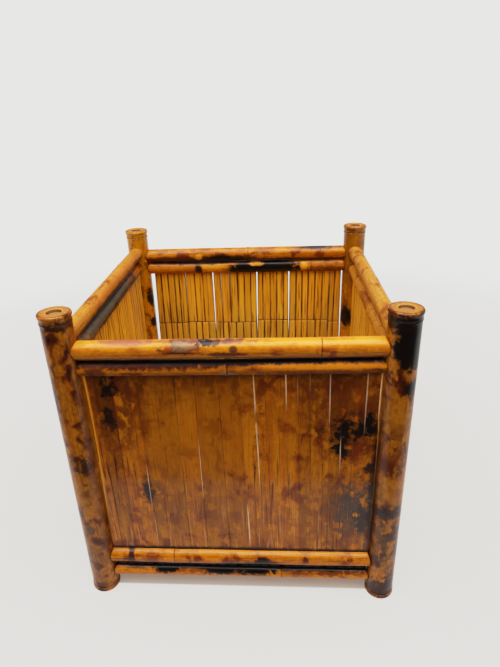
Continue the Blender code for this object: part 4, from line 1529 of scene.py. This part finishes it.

# The colours of the rails that the photograph shows, and their burns from their wall's upright line
# Among the burns are painted highlights along the tops, painted shade in the gaps and a painted reflection
RAILS: dict[str, tuple[Tone, tuple[BurnAndPaintedLight, ...]]] = {
    "front_rail_top_upper": (RAIL_TONE, (
        # Painted highlight along the rail's top
        BurnAndPaintedLight((0, -2, 279.5), (300, 12, 4.5), TOP_HIGHLIGHT, 0.6, 0.6, 0.4, 0.75),
        BurnAndPaintedLight((-20, -3, 279), (40, 6, 2.2), (0.20, 0.07, 0.04), spots=0.3),
        BurnAndPaintedLight((-36, -6, 275.2), (11.5, 6, 5), (0.10, 0.032, 0.012), 2.4, 0.3, 0.2),
        BurnAndPaintedLight((-36, -6, 275.7), (9.5, 6, 4.2), GREY, 2.2, 0.2, 0.3, 1.0),
        BurnAndPaintedLight((-37, -6, 274.5), (9, 5, 3), (0.11, 0.045, 0.020), 5.0, 0.2, 0.0, 0.7),
        BurnAndPaintedLight((-34, -6, 276.5), (7, 5, 2.4), (0.42, 0.27, 0.16), 4.0, 0.3, 0.0, 0.4),
        BurnAndPaintedLight((-42, -8, 270.8), (10, 3, 1), (0.10, 0.03, 0.010), 0.5, spots=0.0),
        BurnAndPaintedLight((-17, -4, 278.2), (12, 4.5, 2.5), (0.02, 0.010, 0.009), 2.4, 0.3, 0.3),
        BurnAndPaintedLight((4.8, -7.8, 273.5), (3.4, 4, 3.4), (0.14, 0.05, 0.012), ragged=0.3),
        BurnAndPaintedLight((0, -8, 269), (16, 4, 2.2), (0.16, 0.04, 0.006), spots=0.2),
        BurnAndPaintedLight((-85, -2, 279), (22, 7, 3), (0.40, 0.12, 0.05), spots=0.4),
    )),
    "front_rail_top_lower": (DULL_RAIL, (
        BurnAndPaintedLight((80, -5, 250), (55, 12, 4.6), (0.16, 0.040, 0.006), 1.6, 0.5, 0.5, 0.8),
        BurnAndPaintedLight((75, -6, 257.6), (62, 10, 2.8), (0.74, 0.25, 0.005), 0.8, 0.4, 0.2, 0.85),
        BurnAndPaintedLight((-65, -6, 254.5), (75, 10, 2.8), (0.58, 0.18, 0.004), 0.8, 0.5, 0.3, 0.7),
        # Painted shade of the upper rail over this rail's upper half, together with its dark red-brown colour
        BurnAndPaintedLight((-80, 0, 270), (135, 30, 16), (0.055, 0.008, 0.002), 0.4, 0.12, 0.1, 0.95),
        # Painted shade in the gap under the upper rail, along this rail's top
        BurnAndPaintedLight((0, 1, 260.5), (200, 7.5, 3.4), SOOT_AND_SHADE, 0.6, 0.3, spots=0.0),
        BurnAndPaintedLight((-1, -5, 250), (8, 6, 3), GREY, spots=0.0),
        BurnAndPaintedLight((-112, -4, 253), (10, 9, 5), (0.14, 0.035, 0.006), spots=0.3),
    )),
    "front_rail_bottom_upper": (SHADED_RAIL, (
        # Painted highlight along the rail's top
        BurnAndPaintedLight((0, -2, 50.5), (300, 12, 4), TOP_HIGHLIGHT, 0.7, 0.6, 0.5, 0.4),
        BurnAndPaintedLight((-106.5, -4, 43), (3.4, 12, 13), (0.07, 0.014, 0.005), 0.7, spots=0.0),
        BurnAndPaintedLight((23, -7, 42.5), (6, 6, 3.6), (0.02, 0.008, 0.005), spots=0.0),
        BurnAndPaintedLight((10, -6, 35.2), (34, 9, 4.2), (0.03, 0.010, 0.006), 0.9, spots=0.1),
        BurnAndPaintedLight((-86, -6, 40), (9, 6, 8), (0.22, 0.045, 0.006), spots=0.0),
        BurnAndPaintedLight((65.6, -6, 44), (3, 6, 3), (0.10, 0.025, 0.006), spots=0.0),
    )),
    "front_rail_bottom_lower": (RAIL_TONE, (
        BurnAndPaintedLight((0, -4, 19), (300, 10, 6), (0.42, 0.150, 0.014), 1.4, 0.5, 0.4, 0.5),
        BurnAndPaintedLight((-40, -3, 26.2), (55, 12, 5.6), (0.20, 0.045, 0.006), 1.6, 0.4, 0.4, 0.8),
        BurnAndPaintedLight((80, -3, 26.8), (50, 12, 5.2), (0.14, 0.030, 0.005), 1.8, 0.4, 0.4, 0.85),
        # Painted shade in the gap under the bottom upper rail, along this rail's top
        BurnAndPaintedLight((0, 1, 27.5), (200, 7.5, 2.6), SOOT_AND_SHADE, 0.6, 0.3, spots=0.0),
        BurnAndPaintedLight((-74, -2, 27.8), (14, 12, 7.2), SOOT_AND_SHADE, 0.9, 0.2, 0.0),
        BurnAndPaintedLight((-20, -2, 28.2), (18, 12, 7.8), SOOT_AND_SHADE, 0.9, 0.2, 0.0),
        BurnAndPaintedLight((18, -2, 28.2), (24, 12, 7.6), SOOT_AND_SHADE, 0.9, 0.2, 0.0),
    )),
    "back_rail_top_upper": (SHADED_RAIL, (
        # Painted highlight along the rail's top
        BurnAndPaintedLight((0, 0, 277), (300, 12, 3.5), TOP_HIGHLIGHT, 0.7, 0.6, 0.4, 0.25),
        BurnAndPaintedLight((-95, -5, 264), (50, 12, 6.6), (0.11, 0.025, 0.006), 0.7, spots=0.1),
        BurnAndPaintedLight((60, -5, 263.5), (80, 9, 3), (0.12, 0.03, 0.008), spots=0.2),
        BurnAndPaintedLight((-27, -5, 265), (34, 12, 7.4), SOOT_AND_SHADE, 0.7, spots=0.0),
        BurnAndPaintedLight((-60, -8, 269.5), (4.5, 9, 4.2), (0.74, 0.34, 0.02), 0.6, spots=0.0),
        BurnAndPaintedLight((95, 0, 277.5), (24, 9, 2.4), (0.05, 0.03, 0.025), spots=0.1),
    )),
    "back_rail_top_lower": (SHADED_RAIL, (
        BurnAndPaintedLight((0, -7, 253), (200, 12, 10), (0.66, 0.24, 0.008), 1.6, 0.4, 0.3, 0.6),
        BurnAndPaintedLight((-40, -7, 254.5), (16, 14, 10), (0.86, 0.36, 0.012), 0.9, 0.5, 0.0, 0.7),
        BurnAndPaintedLight((100, -7, 250), (26, 12, 6), (0.16, 0.045, 0.008), 1.4, 0.5, 0.2, 0.7),
        BurnAndPaintedLight((25, -7, 252), (49, 16, 14), SOOT_AND_SHADE, 0.55, 0.2, 0.0),
        BurnAndPaintedLight((76, -7, 255), (4.5, 9, 6), (0.80, 0.36, 0.02), 0.8, 0.3, 0.0),
        BurnAndPaintedLight((14, -7, 259), (9, 9, 3), (0.74, 0.30, 0.02), 1.0, 0.3, 0.0),
        BurnAndPaintedLight((-61, -7, 252), (4.5, 12, 7), (0.03, 0.012, 0.008), 0.6, spots=0.0),
        BurnAndPaintedLight((-60, -3, 261), (60, 9, 2.4), (0.10, 0.03, 0.010), spots=0.2),
    )),
    "left_rail_top_upper": (PALE_RAIL, (
        BurnAndPaintedLight((6.5, 10, 271), (6, 125, 5), SOOT_AND_SHADE, spots=0.2),
        BurnAndPaintedLight((5, 10, 280), (4, 110, 4), (0.55, 0.17, 0.012), edge=0.6, spots=0.2),
        BurnAndPaintedLight((0, 85, 284), (12, 70, 8), (0.46, 0.175, 0.014), 1.4, 0.7, 0.3, 0.6),
        BurnAndPaintedLight((-3, -64.6, 284), (2, 2, 2), (0.10, 0.03, 0.01), spots=0.0),
        BurnAndPaintedLight((-3, 31.8, 284), (2, 2, 2), (0.10, 0.03, 0.01), spots=0.0),
    )),
    "left_rail_top_lower": (SHADED_RAIL, (
        # Black char, painted grey where the lacquer mirrors the sky: a painted reflection
        BurnAndPaintedLight((4, -20, 260), (14, 94, 14), (0.105, 0.084, 0.062), 1.0, spots=0.2),
        # Painted shade along the rail's lower inner side
        BurnAndPaintedLight((6, 20, 256), (10, 85, 4), SOOT_AND_SHADE, 0.9, 0.2, spots=0.2),
    )),
    "right_rail_top_upper": (PALE_RAIL, ()),
    # Painted light: the lighter copy of the pale rail
    "right_rail_top_lower": (LIGHTENED_PALE_RAIL, ()),
}

RAIL_SHAPES = {
    "front_rail_top_upper": RailShape(rise=1.6 * MM, swell=0.3 * MM),
    "front_rail_top_lower": RailShape(rise=1.6 * MM, node=-1.0 * MM),
    "back_rail_top_upper": RailShape(swell=0.9 * MM),
    "back_rail_top_lower": RailShape(swell=0.9 * MM),
    "left_rail_top_lower": RailShape(swell=0.7 * MM, taper=-0.12),
    "right_rail_top_lower": RailShape(swell=0.8 * MM, node=-23.0 * MM),
}

# Burns of the front wall's skin, from its upright line, with painted shade along its top and foot and beside
# the right post
WALL_BURNS_AND_SHADE = (
    BurnAndPaintedLight((-30, 0, 180), (50, 20, 60), (0.56, 0.190, 0.003), 2.2, 0.6, 0.0, 0.45),
    # Painted shade across the top of the wall under the rails, in rust brown
    BurnAndPaintedLight((0, 0, 272), (170, 20, 40), RUST_AND_SHADE, spots=0.3, edge=0.7, strength=0.68),
    BurnAndPaintedLight((-105, 0, 225), (26, 20, 50), RUST_AND_SHADE, edge=0.6, strength=0.75),
    BurnAndPaintedLight((105, 0, 215), (36, 20, 50), RUST_AND_SHADE, edge=0.5, strength=0.65, spots=0.5),
    BurnAndPaintedLight((60, 0, 215), (50, 20, 40), RUST_AND_SHADE, edge=0.7, strength=0.2, spots=0.5),
    BurnAndPaintedLight((105, 0, 100), (36, 20, 44), (0.13, 0.036, 0.007), edge=0.5, strength=0.7, spots=0.7),
    BurnAndPaintedLight((-20, 0, 100), (80, 20, 30), (0.26, 0.075, 0.012), 2.0, 0.6, 0.8, 0.45),
    BurnAndPaintedLight((50, 0, 80), (60, 20, 30), (0.26, 0.075, 0.012), 2.0, 0.6, 0.8, 0.45),
    BurnAndPaintedLight((-90, 0, 115), (30, 20, 40), (0.24, 0.066, 0.012), 2.0, 0.6, 0.8, 0.45),
    BurnAndPaintedLight((104, 0, 194), (19, 10, 14), (0.06, 0.015, 0.004), 1.9, 0.5, 0.7, 0.8),
    BurnAndPaintedLight((104, 0, 194), (14, 10, 9), SOOT_AND_SHADE, 2.2, 0.25, 0.5),
    BurnAndPaintedLight((94, 0, 176), (8, 10, 14), SOOT_AND_SHADE, 1.9, 0.25, 0.5),
    BurnAndPaintedLight((118, 0, 198), (6, 10, 11), SOOT_AND_SHADE, 1.7, 0.25, 0.6),
    BurnAndPaintedLight((120, 0, 152), (5, 10, 6), (0.05, 0.014, 0.005), 1.6, 0.4, 0.2),
    # A black burn, painted grey-blue where the lacquer's sheen lies on it: partly a painted reflection
    BurnAndPaintedLight((110, 0, 104), (17, 10, 28), (0.060, 0.046, 0.044), 1.8, 0.5, 1.5, 0.85),
    BurnAndPaintedLight((118, 0, 92), (9, 10, 14), (0.028, 0.021, 0.022), 1.8, 0.5, 1.0, 0.6),
    BurnAndPaintedLight((-104, 0, 238), (7, 10, 14), (0.014, 0.005, 0.004), 1.9, 0.35, 0.8),
    BurnAndPaintedLight((-108, 0, 205), (5, 10, 12), (0.03, 0.009, 0.004), 1.8, 0.4, 0.6),
    BurnAndPaintedLight((-82, 0, 124), (5, 10, 14), (0.04, 0.015, 0.009), 1.2, 0.5, 0.0),
    BurnAndPaintedLight((-88, 0, 234), (3, 10, 16), (0.10, 0.020, 0.004), 1.2, 0.6, 0.0, 0.7),
    # Painted shade along the foot of the wall, where it meets the bottom rail
    BurnAndPaintedLight((0, 0, 50), (300, 20, 3.6), (0.02, 0.006, 0.003), 0.6, 0.5, 0.2),
    # Painted shade down the wall beside the right post
    BurnAndPaintedLight((125.5, 0, 120), (3.5, 20, 85), (0.03, 0.006, 0.002), 0.8, 0.5, 0.2),
)
# Painted light on the strip beside the left post, the end of a crack that shuts again, and the pale edge at
# the right, raw bamboo with painted light through the gap
WALL_LIGHTS = (
    # Painted light: the bright strip beside the left post
    BurnAndPaintedLight((-124.8, 0, 195), (2.6, 20, 80), (0.98, 0.38, 0.02), 0.1, 0.5, 0.0),
    BurnAndPaintedLight((21.3, 0, 204.5), (0.9, 20, 6), (0.15, 0.040, 0.005), 0.2, 0.3, 0.0),
    # Raw bamboo with painted light through the gap beside the right post
    BurnAndPaintedLight((125, 0, 228), (0.6, 20, 26), (0.97, 0.72, 0.50), 0.1, 0.4, 0.0),
)

# The front boards from left to right, with the cracks that the photograph shows
FRONT_PLANS = (
    BoardPlan(
        (Split(0.20), Split(0.52), Split(0.68)),
        left=Opening(110.0, 330.0, 3.4),
        right=Opening(106.0, 153.0, 0.45),
    ),
    BoardPlan(
        (Split(0.31), Split(0.66)),
        left=Opening(54.0, 90.0, 0.65),
        right=Opening(112.0, 186.0, 0.40),
    ),
    BoardPlan(
        (Split(0.40), Split(0.76, Opening(53.0, 108.0, 0.40))),
        right=Opening(124.0, 266.0, 0.46),
    ),
    BoardPlan(
        (
            Split(0.15),
            Split(0.46, Opening(212.0, 275.0, 0.32)),
            Split(0.63, Opening(214.0, 250.0, 0.07)),
            Split(0.81, Opening(226.0, 258.0, 0.06)),
        ),
        left=Opening(124.0, 266.0, 0.20),
    ),
    BoardPlan(
        (
            Split(0.11, Opening(195.0, 270.0, 0.26)),
            Split(0.33, Opening(152.0, 186.0, 0.28)),
            Split(0.56),
            Split(0.76, Opening(188.0, 270.0, 0.24)),
        ),
        right=Opening(10.0, 200.0, -1.8),
    ),
)

# The back boards from left to right: how many strips below and above the node line, and how their sides open
WIDE_GAP, FAINT_GAP = Opening(160.0, 340.0, 1.5), Opening(190.0, 300.0, 0.30)
BACK_PLANS = (
    (5, 5, Opening(-100.0, 600.0, 0.6), FAINT_GAP),
    (4, 3, FAINT_GAP, WIDE_GAP),
    (6, 5, WIDE_GAP, WIDE_GAP),
    (5, 5, WIDE_GAP, WIDE_GAP),
    (6, 6, WIDE_GAP, CLOSED),
    (2, 2, CLOSED, WIDE_GAP),
)
# The strips above the node line of the third back board, where two cracks show
CRACKED = (
    Split(0.18, Opening(190.0, 300.0, 0.28)),
    Split(0.38, Opening(200.0, 300.0, 0.18)),
    Split(0.56),
    Split(0.71),
    Split(0.86),
)


@dataclass
class Planter:
    """The whole planter box."""

    frame: Frame
    shading: Shading
    canes: CaneShop
    boards: BoardShop
    back_node: float = 176.0 * MM
    side_node: float = 120.0 * MM
    side_drift: float = 12.0 * MM
    side_strips: tuple[int, ...] = (4, 5, 6, 7)
    side_looseness: float = 0.36
    floor_strips: int = 4
    floor_reach: float = 100.0 * MM
    rail_bow: float = 0.4 * MM
    burn_reach: float = 110.0 * MM

    def build(self) -> None:
        """Make every piece."""
        for corner, (tone, bow, burns) in POSTS.items():
            self.canes.post(corner, tone, bow, burns)
        for wall in Wall:
            self.rails(wall)
        self.front_wall()
        self.back_wall()
        self.side_wall(Wall.LEFT)
        self.side_wall(Wall.RIGHT)
        self.floor()
        for node in sorted(self.frame.nodes):
            if node.startswith("pin_"):
                self.canes.pin(node, PIN_TONE)

    def rails(self, wall: Wall) -> None:
        """Make a wall's four rails.

        Args:
            wall: The wall.
        """
        x, y = (part * self.canes.half_spacing for part in wall.value)
        for part in ("top_upper", "top_lower", "bottom_upper", "bottom_lower"):
            node = f"{wall.name.lower()}_rail_{part}"
            tone, burns = RAILS.get(node, (RAIL_TONE, None))
            burns = self.chance_burns(node, wall.grain) if burns is None else near(x, y, burns)
            chance = random.Random(f"{node} bow")
            across, up = (chance.uniform(-self.rail_bow, self.rail_bow) for _ in range(2))
            bow = (across, up, 0.0)
            self.canes.rail(node, wall.grain, tone, burns, RAIL_SHAPES.get(node, RailShape()), bow)

    def chance_burns(self, node: str, grain: Grain) -> tuple[BurnAndPaintedLight, ...]:
        """A few burns on a rail that the photograph hides.

        Args:
            node: The CAD node.
            grain: The way that the rail runs.

        Returns:
            The burns.
        """
        bar = self.frame.bar(node, grain)
        radius = bar.radius / MM
        chance = random.Random(f"{node} burns")
        burns = []
        for _ in range(3):
            centre = bar.middle / MM
            centre[grain.axis] = chance.uniform(-self.burn_reach, self.burn_reach) / MM
            centre.z += chance.choice((-1, 1)) * radius * 0.8
            size = [radius * 1.2] * 3
            size[grain.axis] = chance.uniform(10.0, 30.0)
            burns.append(BurnAndPaintedLight(tuple(centre), tuple(size)))
        return tuple(burns)

    def front_wall(self) -> None:
        """The front wall, whose skin side shows."""
        y = -self.canes.half_spacing
        burns, lights = near(0.0, y, WALL_BURNS_AND_SHADE), near(0.0, y, WALL_LIGHTS)
        material = self.shading.strip(
            "front wall bamboo", SKIN_TONE, CORE_TONE, Grain.UPRIGHT, burns, through=lights, raw_and_light=1.0
        )
        values = {"relief": 0.12 * MM, "Seam": 0.01 * MM}
        for number, plan in enumerate(FRONT_PLANS, 1):
            self.boards.lay(f"front_board_{number}", plan, Wall.FRONT.facing, material, **values)

    def back_wall(self) -> None:
        """The back wall, whose inner face shows, with its row of nodes."""
        material = self.shading.strip("back wall bamboo", SKIN_TONE, CORE_TONE, Grain.UPRIGHT)
        for number, (low, high, left, right) in enumerate(BACK_PLANS, 1):
            node = f"back_board_{number}"
            upper = CRACKED if number == 3 else evenly(high, f"{node} high")
            plan = BoardPlan(evenly(low, f"{node} low"), upper, left, right)
            self.boards.lay(node, plan, Wall.BACK.facing, material, self.back_node)

    def side_wall(self, wall: Wall) -> None:
        """The left or right wall, whose fine uneven inner face shows.

        Args:
            wall: The wall.
        """
        name = wall.name.lower()
        material = self.shading.strip(f"{name} wall bamboo", SKIN_TONE, PALE_CORE, Grain.UPRIGHT)
        values = {"Core_Squareness": 5.0, "Waviness": 0.9 * MM, "Wander": 14.0 * MM}
        for number in range(1, 6):
            node = f"{name}_board_{number}"
            count = random.Random(f"{node} strips").choice(self.side_strips)
            splits = (evenly(count, f"{node} {row}", self.side_looseness) for row in ("low", "high"))
            plan = BoardPlan(*splits)
            line = self.side_node + self.side_drift * math.sin(number)
            self.boards.lay(node, plan, wall.facing, material, line, **values)

    def floor(self) -> None:
        """The floor boards and the bearers under them."""
        y = self.canes.half_spacing
        # Painted shade over the floor boards' ends, which lie in the gap between the bottom rails
        dark = [BurnAndPaintedLight((0, 0, 29), (300, 10, 20), SOOT_AND_SHADE, 0.3, spots=0.0)]
        ends = near(0.0, -y, dark) + near(0.0, y, dark)
        material = self.shading.strip("floor bamboo", SKIN_TONE, CORE_TONE, Grain.ALONG_Y, through=ends)
        for node in sorted(self.frame.nodes):
            if node.startswith("floor_board"):
                plan = BoardPlan(evenly(self.floor_strips, node), evenly(self.floor_strips, f"{node} far"))
                line = random.Random(node).uniform(-self.floor_reach, self.floor_reach)
                self.boards.lay(node, plan, FLOOR_FACING, material, line, "floor_slat")
            elif node.startswith("floor_bearer"):
                self.canes.bearer(node, PLAIN_POST)


@dataclass(frozen=True)
class Lamp:
    """One soft rectangular lamp, and whether the gloss mirrors it."""

    name: str
    place: Point
    size: tuple[float, float]
    power: float
    mirrored: bool = True


@dataclass
class Studio:
    """Pale floor, soft light and the photograph's camera."""

    place: Point = (0.038758, -0.517220, 0.456704)
    yaw: float = math.radians(-4.40542)
    pitch: float = math.radians(24.74814)
    roll: float = math.radians(-2.40212)
    lens: float = 28.0613
    shift: tuple[float, float] = (0.016089, 0.003646)
    aim: Point = (0.0, -0.05, 0.2)
    backdrop: Colour = (1.03, 1.03, 0.99)
    paper: Colour = (0.52, 0.512, 0.498)
    lit_paper: Colour = (0.96, 0.93, 0.89)
    # Colour of the painted shadow under the planter
    shaded_paper: Colour = (0.60, 0.47, 0.38)
    felt: Colour = (0.02, 0.02, 0.02)
    far: float = 60.0
    fade: tuple[float, float] = (0.30, 1.10)
    card: tuple[tuple[float, float], tuple[float, float]] = ((-2.0, -3.0), (2.0, -0.30))
    glow: float = 0.75
    shade: float = 0.141
    white: float = 2.0
    response: tuple[tuple[float, float], ...] = (
        (0.04, 0.026), (0.10, 0.080), (0.20, 0.180), (0.40, 0.400), (0.60, 0.575),
        (0.80, 0.700), (1.0, 0.790), (1.3, 0.880), (1.6, 0.950),
    )
    bright: float = 0.42
    dim: float = 0.02
    lamps: tuple[Lamp, ...] = (
        Lamp("softbox", (0.0, -0.70, 3.00), (4.6, 2.6), 170.0),
        Lamp("fill", (0.0, -2.20, 1.90), (3.0, 1.5), 14.0, mirrored=False),
    )

    def build(self) -> None:
        """Set up the whole stage."""
        self.film()
        self.camera()
        self.world()
        self.floor()
        self.dark_card()
        for lamp in self.lamps:
            self.hang(lamp)

    def film(self) -> None:
        """The photograph's response: deeper shadows, and highlights that roll off."""
        view = bpy.context.scene.view_settings
        view.view_transform = "Standard"
        view.look = "None"
        view.use_curve_mapping = True
        mapping = view.curve_mapping
        mapping.white_level = (self.white, self.white, self.white)
        curve = mapping.curves[3]
        for light, shown in self.response:
            curve.points.new(light / self.white, shown)
        mapping.update()

    def camera(self) -> None:
        """The camera, from its turn about Z, its tilt down and its roll."""
        sin, cos = math.sin, math.cos
        ahead = Vector((sin(self.yaw) * cos(self.pitch), cos(self.yaw) * cos(self.pitch), -sin(self.pitch)))
        level = Vector((cos(self.yaw), -sin(self.yaw), 0.0))
        above = level.cross(ahead)
        right = level * cos(self.roll) + above * sin(self.roll)
        up = above * cos(self.roll) - level * sin(self.roll)
        data = bpy.data.cameras.new("camera")
        data.lens = self.lens
        data.shift_x, data.shift_y = self.shift
        eye = bpy.data.objects.new("camera", data)
        turn = Matrix((right, up, -ahead)).transposed()
        eye.matrix_world = Matrix.Translation(self.place) @ turn.to_4x4()
        bpy.context.scene.collection.objects.link(eye)
        bpy.context.scene.camera = eye

    def world(self) -> None:
        """White all round and above, and dim low down in front, behind the camera."""
        world = bpy.data.worlds.new("studio")
        world.use_nodes = True
        g = Graph(world.node_tree)
        sky = world.node_tree.nodes["Background"]
        _, ahead, up = g.separate(g.out("ShaderNodeTexCoord", "Generated"))
        level = g.ramp(g.fused(ahead, 0.9, up), -0.10, 0.16, self.dim, self.bright)
        seen = g.out("ShaderNodeLightPath", "Is Camera Ray")
        g.feed(sky.inputs["Color"], g.tint(seen, g.grey(level), self.backdrop))
        bpy.context.scene.world = world

    @staticmethod
    def matt(name: str, colour: Colour, roughness: float) -> tuple[bpy.types.Material, Graph, bpy.types.Node]:
        """Start a matt material of the stage, mixed with a second shader.

        Args:
            name: Its name.
            colour: Its colour.
            roughness: Its roughness.

        Returns:
            The material, a graph on it, and the node whose factor and second shader are still to be fed.
        """
        material = bpy.data.materials.new(name)
        material.use_nodes = True
        nodes = material.node_tree.nodes
        shader = nodes["Principled BSDF"]
        shader.inputs["Base Color"].default_value = (*colour, 1.0)
        shader.inputs["Roughness"].default_value = roughness
        g = Graph(material.node_tree)
        mix = g.add("ShaderNodeMixShader")
        g.feed(mix.inputs[1], shader.outputs[0])
        g.feed(nodes["Material Output"].inputs["Surface"], mix.outputs[0])
        return material, g, mix

    def floor(self) -> None:
        """A wide matt floor that glows evenly, with a painted shadow under the planter, and fades into the
        backdrop.
        """
        paper, g, mix = self.matt("white paper", self.paper, 0.9)
        paper.node_tree.nodes["Principled BSDF"].inputs["Specular IOR Level"].default_value = 0.1
        where = g.out("ShaderNodeTexCoord", "Object")
        far = g.ramp(g.vector("LENGTH", where, output="Value"), *self.fade)
        x, y, _ = g.separate(where)
        side = g.math("MAXIMUM", g.math("ABSOLUTE", x), g.math("ABSOLUTE", y))
        # Painted shadow: a square under the planter with a sharp edge, in the shaded colour and with less glow
        clear = g.ramp(side, self.shade - 1.0 * MM, self.shade + 1.0 * MM)
        near_colour = g.tint(clear, self.shaded_paper, self.lit_paper)
        share = g.times(g.ramp(clear, 0.0, 1.0, 0.6, 1.0), self.glow)
        g.feed(mix.inputs["Fac"], g.math("MAXIMUM", far, share))
        colour = g.tint(far, near_colour, self.backdrop)
        g.feed(mix.inputs[2], g.out("ShaderNodeEmission", "Emission", {"Color": colour}))
        self.sheet("studio_floor", (-self.far, -self.far), (self.far, self.far), 0.0, paper)

    def dark_card(self) -> None:
        """A card in front, unseen by the camera and from below, that ends the white in the gloss."""
        felt, g, mix = self.matt("dark card", self.felt, 1.0)
        g.feed(mix.inputs["Fac"], g.out("ShaderNodeNewGeometry", "Backfacing"))
        g.feed(mix.inputs[2], g.out("ShaderNodeBsdfTransparent", "BSDF"))
        card = self.sheet("studio_card", *self.card, 0.5 * MM, felt)
        card.visible_camera = False
        card.visible_shadow = False

    @staticmethod
    def sheet(
        name: str, low: tuple[float, float], high: tuple[float, float], up: float, look: bpy.types.Material
    ) -> bpy.types.Object:
        """A level sheet of the stage.

        Args:
            name: Its name.
            low: Its lowest corner in X and Y.
            high: Its highest one.
            up: Its height.
            look: Its material.

        Returns:
            The sheet.
        """
        mesh = bpy.data.meshes.new(name)
        ends = ((low[0], low[1]), (high[0], low[1]), (high[0], high[1]), (low[0], high[1]))
        mesh.from_pydata([(x, y, up) for x, y in ends], [], [(0, 1, 2, 3)])
        mesh.materials.append(look)
        sheet = bpy.data.objects.new(name, mesh)
        bpy.context.scene.collection.objects.link(sheet)
        return sheet

    def hang(self, lamp: Lamp) -> None:
        """Hang one lamp, aimed at the planter.

        Args:
            lamp: The lamp.
        """
        data = bpy.data.lights.new(lamp.name, "AREA")
        data.shape = "RECTANGLE"
        data.size, data.size_y = lamp.size
        data.energy = lamp.power
        light = bpy.data.objects.new(lamp.name, data)
        turn = (Vector(self.aim) - Vector(lamp.place)).to_track_quat("-Z", "Y").to_matrix()
        light.matrix_world = Matrix.Translation(lamp.place) @ turn.to_4x4()
        light.visible_glossy = lamp.mirrored
        bpy.context.scene.collection.objects.link(light)


def main() -> None:
    """Load the frame, make every piece and set the stage."""
    logging.basicConfig(level=logging.INFO, format="%(message)s")
    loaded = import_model()
    Studio().build()
    frame = Frame(loaded["nodes"])
    shading = Shading()
    Planter(frame, shading, CaneShop(frame, shading), BoardShop(frame, shading)).build()


if __name__ == "__main__":
    main()
